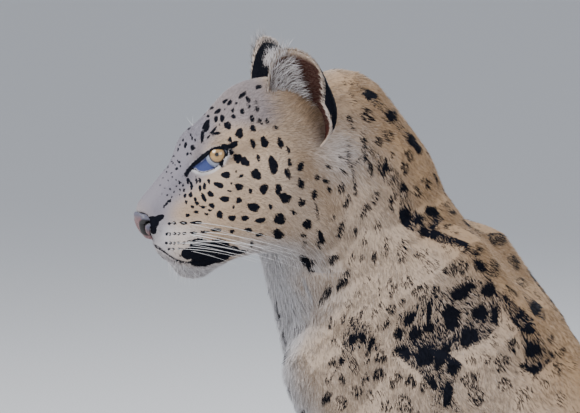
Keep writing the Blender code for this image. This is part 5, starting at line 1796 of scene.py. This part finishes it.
class LEOPARD_OT_whiskers(bpy.types.Operator):
    """Long white whiskers on the muzzle, and bristles above the eyes and on the chin"""

    bl_idname = "leopard.whiskers"
    bl_label = "Whiskers"

    def execute(self, context):
        stream = np.random.default_rng(41)
        tree = skin_tree()
        groups = (
            ("whiskers", WHISKER_ROOTS, WHISKER_WAY, 0.00032, 0.22),
            ("brow_whiskers", BROW_ROOTS, BROW_WAY, 0.00028, 0.10),
            ("chin_bristles", CHIN_ROOTS, CHIN_WAY, 0.00022, 0.05),
        )
        for name, table, main_way, radius, droop in groups:
            data = bpy.data.curves.new(name, "CURVE")
            data.dimensions = "3D"
            data.bevel_depth = radius
            data.bevel_resolution = 0
            for u, v, length in table:
                hit = tree.ray_cast(*photo_ray((u, v)))[0]
                if hit is None:
                    continue
                root = in_head(np.array(hit)[None])[0]
                for sign in (1, -1):
                    way = unit(np.array(main_way) + stream.normal(0, 0.10, 3))
                    place = tree.find_nearest(Vector(from_head((root * (1, sign, 1))[None])[0]))[0]
                    self.hair(data, np.array(place), way * (1, sign, 1), length / 1000, droop, sign)
            shape = bpy.data.objects.new(name, data)
            context.scene.collection.objects.link(shape)
            graph = context.evaluated_depsgraph_get()
            mesh = bpy.data.meshes.new_from_object(shape.evaluated_get(graph))
            bpy.data.objects.remove(shape)
            piece = bpy.data.objects.new(name, mesh)
            context.scene.collection.objects.link(piece)
            mesh.materials.clear()
            mesh.materials.append(whisker_material())
            ride_as(piece, "coat")
        return {"FINISHED"}

    def hair(self, data, place, way, length, droop, sign):
        """One tapered hair that leaves the skin along its way and droops to its tip."""
        count = 9
        spline = data.splines.new("POLY")
        spline.points.add(count - 1)
        sag = np.array((-0.55, 0.10 * sign, -0.80))
        for k, point in enumerate(spline.points):
            share = k / (count - 1)
            run = way * (share * length - 0.002) + sag * (droop * length * share * share)
            spot = place + turned_from_head(run[None])[0]
            point.co = (*spot, 1.0)
            point.radius = 1.0 - 0.85 * share


@lru_cache(maxsize=None)
def whisker_material():
    return plain_material("whisker", (0.80, 0.80, 0.82), 0.35)


class LEOPARD_OT_stage(bpy.types.Operator):
    """A pale floor, soft light and the photo's camera"""

    bl_idname = "leopard.stage"
    bl_label = "Stage"

    def execute(self, context):
        sizes = context.scene.leopard_stage
        bm = bmesh.new()
        bmesh.ops.create_grid(bm, x_segments=2, y_segments=2, size=40.0)
        floor = finished(bm, "floor")
        floor.data.materials.append(plain_material("floor", tuple(sizes.floor), 0.9))
        right, up, back, aim = camera_axes()
        camera = bpy.data.objects.new("camera", bpy.data.cameras.new("camera"))
        context.scene.collection.objects.link(camera)
        camera.location = Vector(aim + back * CAMERA_DISTANCE)
        camera.rotation_euler = Vector(back).to_track_quat("Z", "Y").to_euler()
        camera.data.sensor_width = SENSOR_MM
        camera.data.lens = SENSOR_MM * CAMERA_DISTANCE / PHOTO_WIDTH_M
        context.scene.camera = camera
        world = bpy.data.worlds.new("studio")
        world.use_nodes = True
        world.node_tree.nodes["Background"].inputs["Color"].default_value = (0.80, 0.85, 0.95, 1.0)
        world.node_tree.nodes["Background"].inputs["Strength"].default_value = 0.75
        context.scene.world = world
        self.light(context, "key", (-3.0, -2.6, 3.6), sizes.key_power, 2.4, (1.0, 0.96, 0.90))
        self.light(context, "fill", (3.2, -4.0, 2.2), sizes.fill_power, 3.0, (1.0, 0.97, 0.94))
        self.light(context, "rim", (1.0, 3.4, 3.4), sizes.key_power * 0.7, 2.0, (0.95, 0.97, 1.0))
        return {"FINISHED"}

    def light(self, context, name, place, power, size, colour):
        lamp = bpy.data.lights.new(name, "AREA")
        lamp.energy = power
        lamp.size = size
        lamp.color = colour
        shape = bpy.data.objects.new(name, lamp)
        context.scene.collection.objects.link(shape)
        shape.location = place
        shape.rotation_euler = (Vector(place) - Vector((0, 0, 0.5))).to_track_quat("Z", "Y").to_euler()


class LEOPARD_PT_panel(bpy.types.Panel):
    """Lists the pieces of the leopard"""

    bl_label = "Leopard"
    bl_idname = "LEOPARD_PT_panel"
    bl_space_type = "VIEW_3D"
    bl_region_type = "UI"
    bl_category = "Leopard"

    def draw(self, context):
        for operator in OPERATORS:
            self.layout.operator(operator.bl_idname)


OPERATORS = (
    LEOPARD_OT_skin,
    LEOPARD_OT_ears,
    LEOPARD_OT_eyes,
    LEOPARD_OT_nose,
    LEOPARD_OT_coat,
    LEOPARD_OT_whiskers,
    LEOPARD_OT_stage,
)
CLASSES = (CoatSizes, CoatColours, StageSizes, *OPERATORS, LEOPARD_PT_panel)


def register():
    for made in CLASSES:
        bpy.utils.register_class(made)
    bpy.types.Scene.leopard_coat = bpy.props.PointerProperty(type=CoatSizes)
    bpy.types.Scene.leopard_colours = bpy.props.PointerProperty(type=CoatColours)
    bpy.types.Scene.leopard_stage = bpy.props.PointerProperty(type=StageSizes)


def unregister():
    del bpy.types.Scene.leopard_coat
    del bpy.types.Scene.leopard_colours
    del bpy.types.Scene.leopard_stage
    for made in reversed(CLASSES):
        bpy.utils.unregister_class(made)


def main():
    register()
    bpy.ops.leopard.skin()
    bpy.ops.leopard.ears()
    bpy.ops.leopard.eyes()
    bpy.ops.leopard.nose()
    bpy.ops.leopard.coat()
    bpy.ops.leopard.whiskers()
    bpy.ops.leopard.stage()


if __name__ == "__main__":
    main()
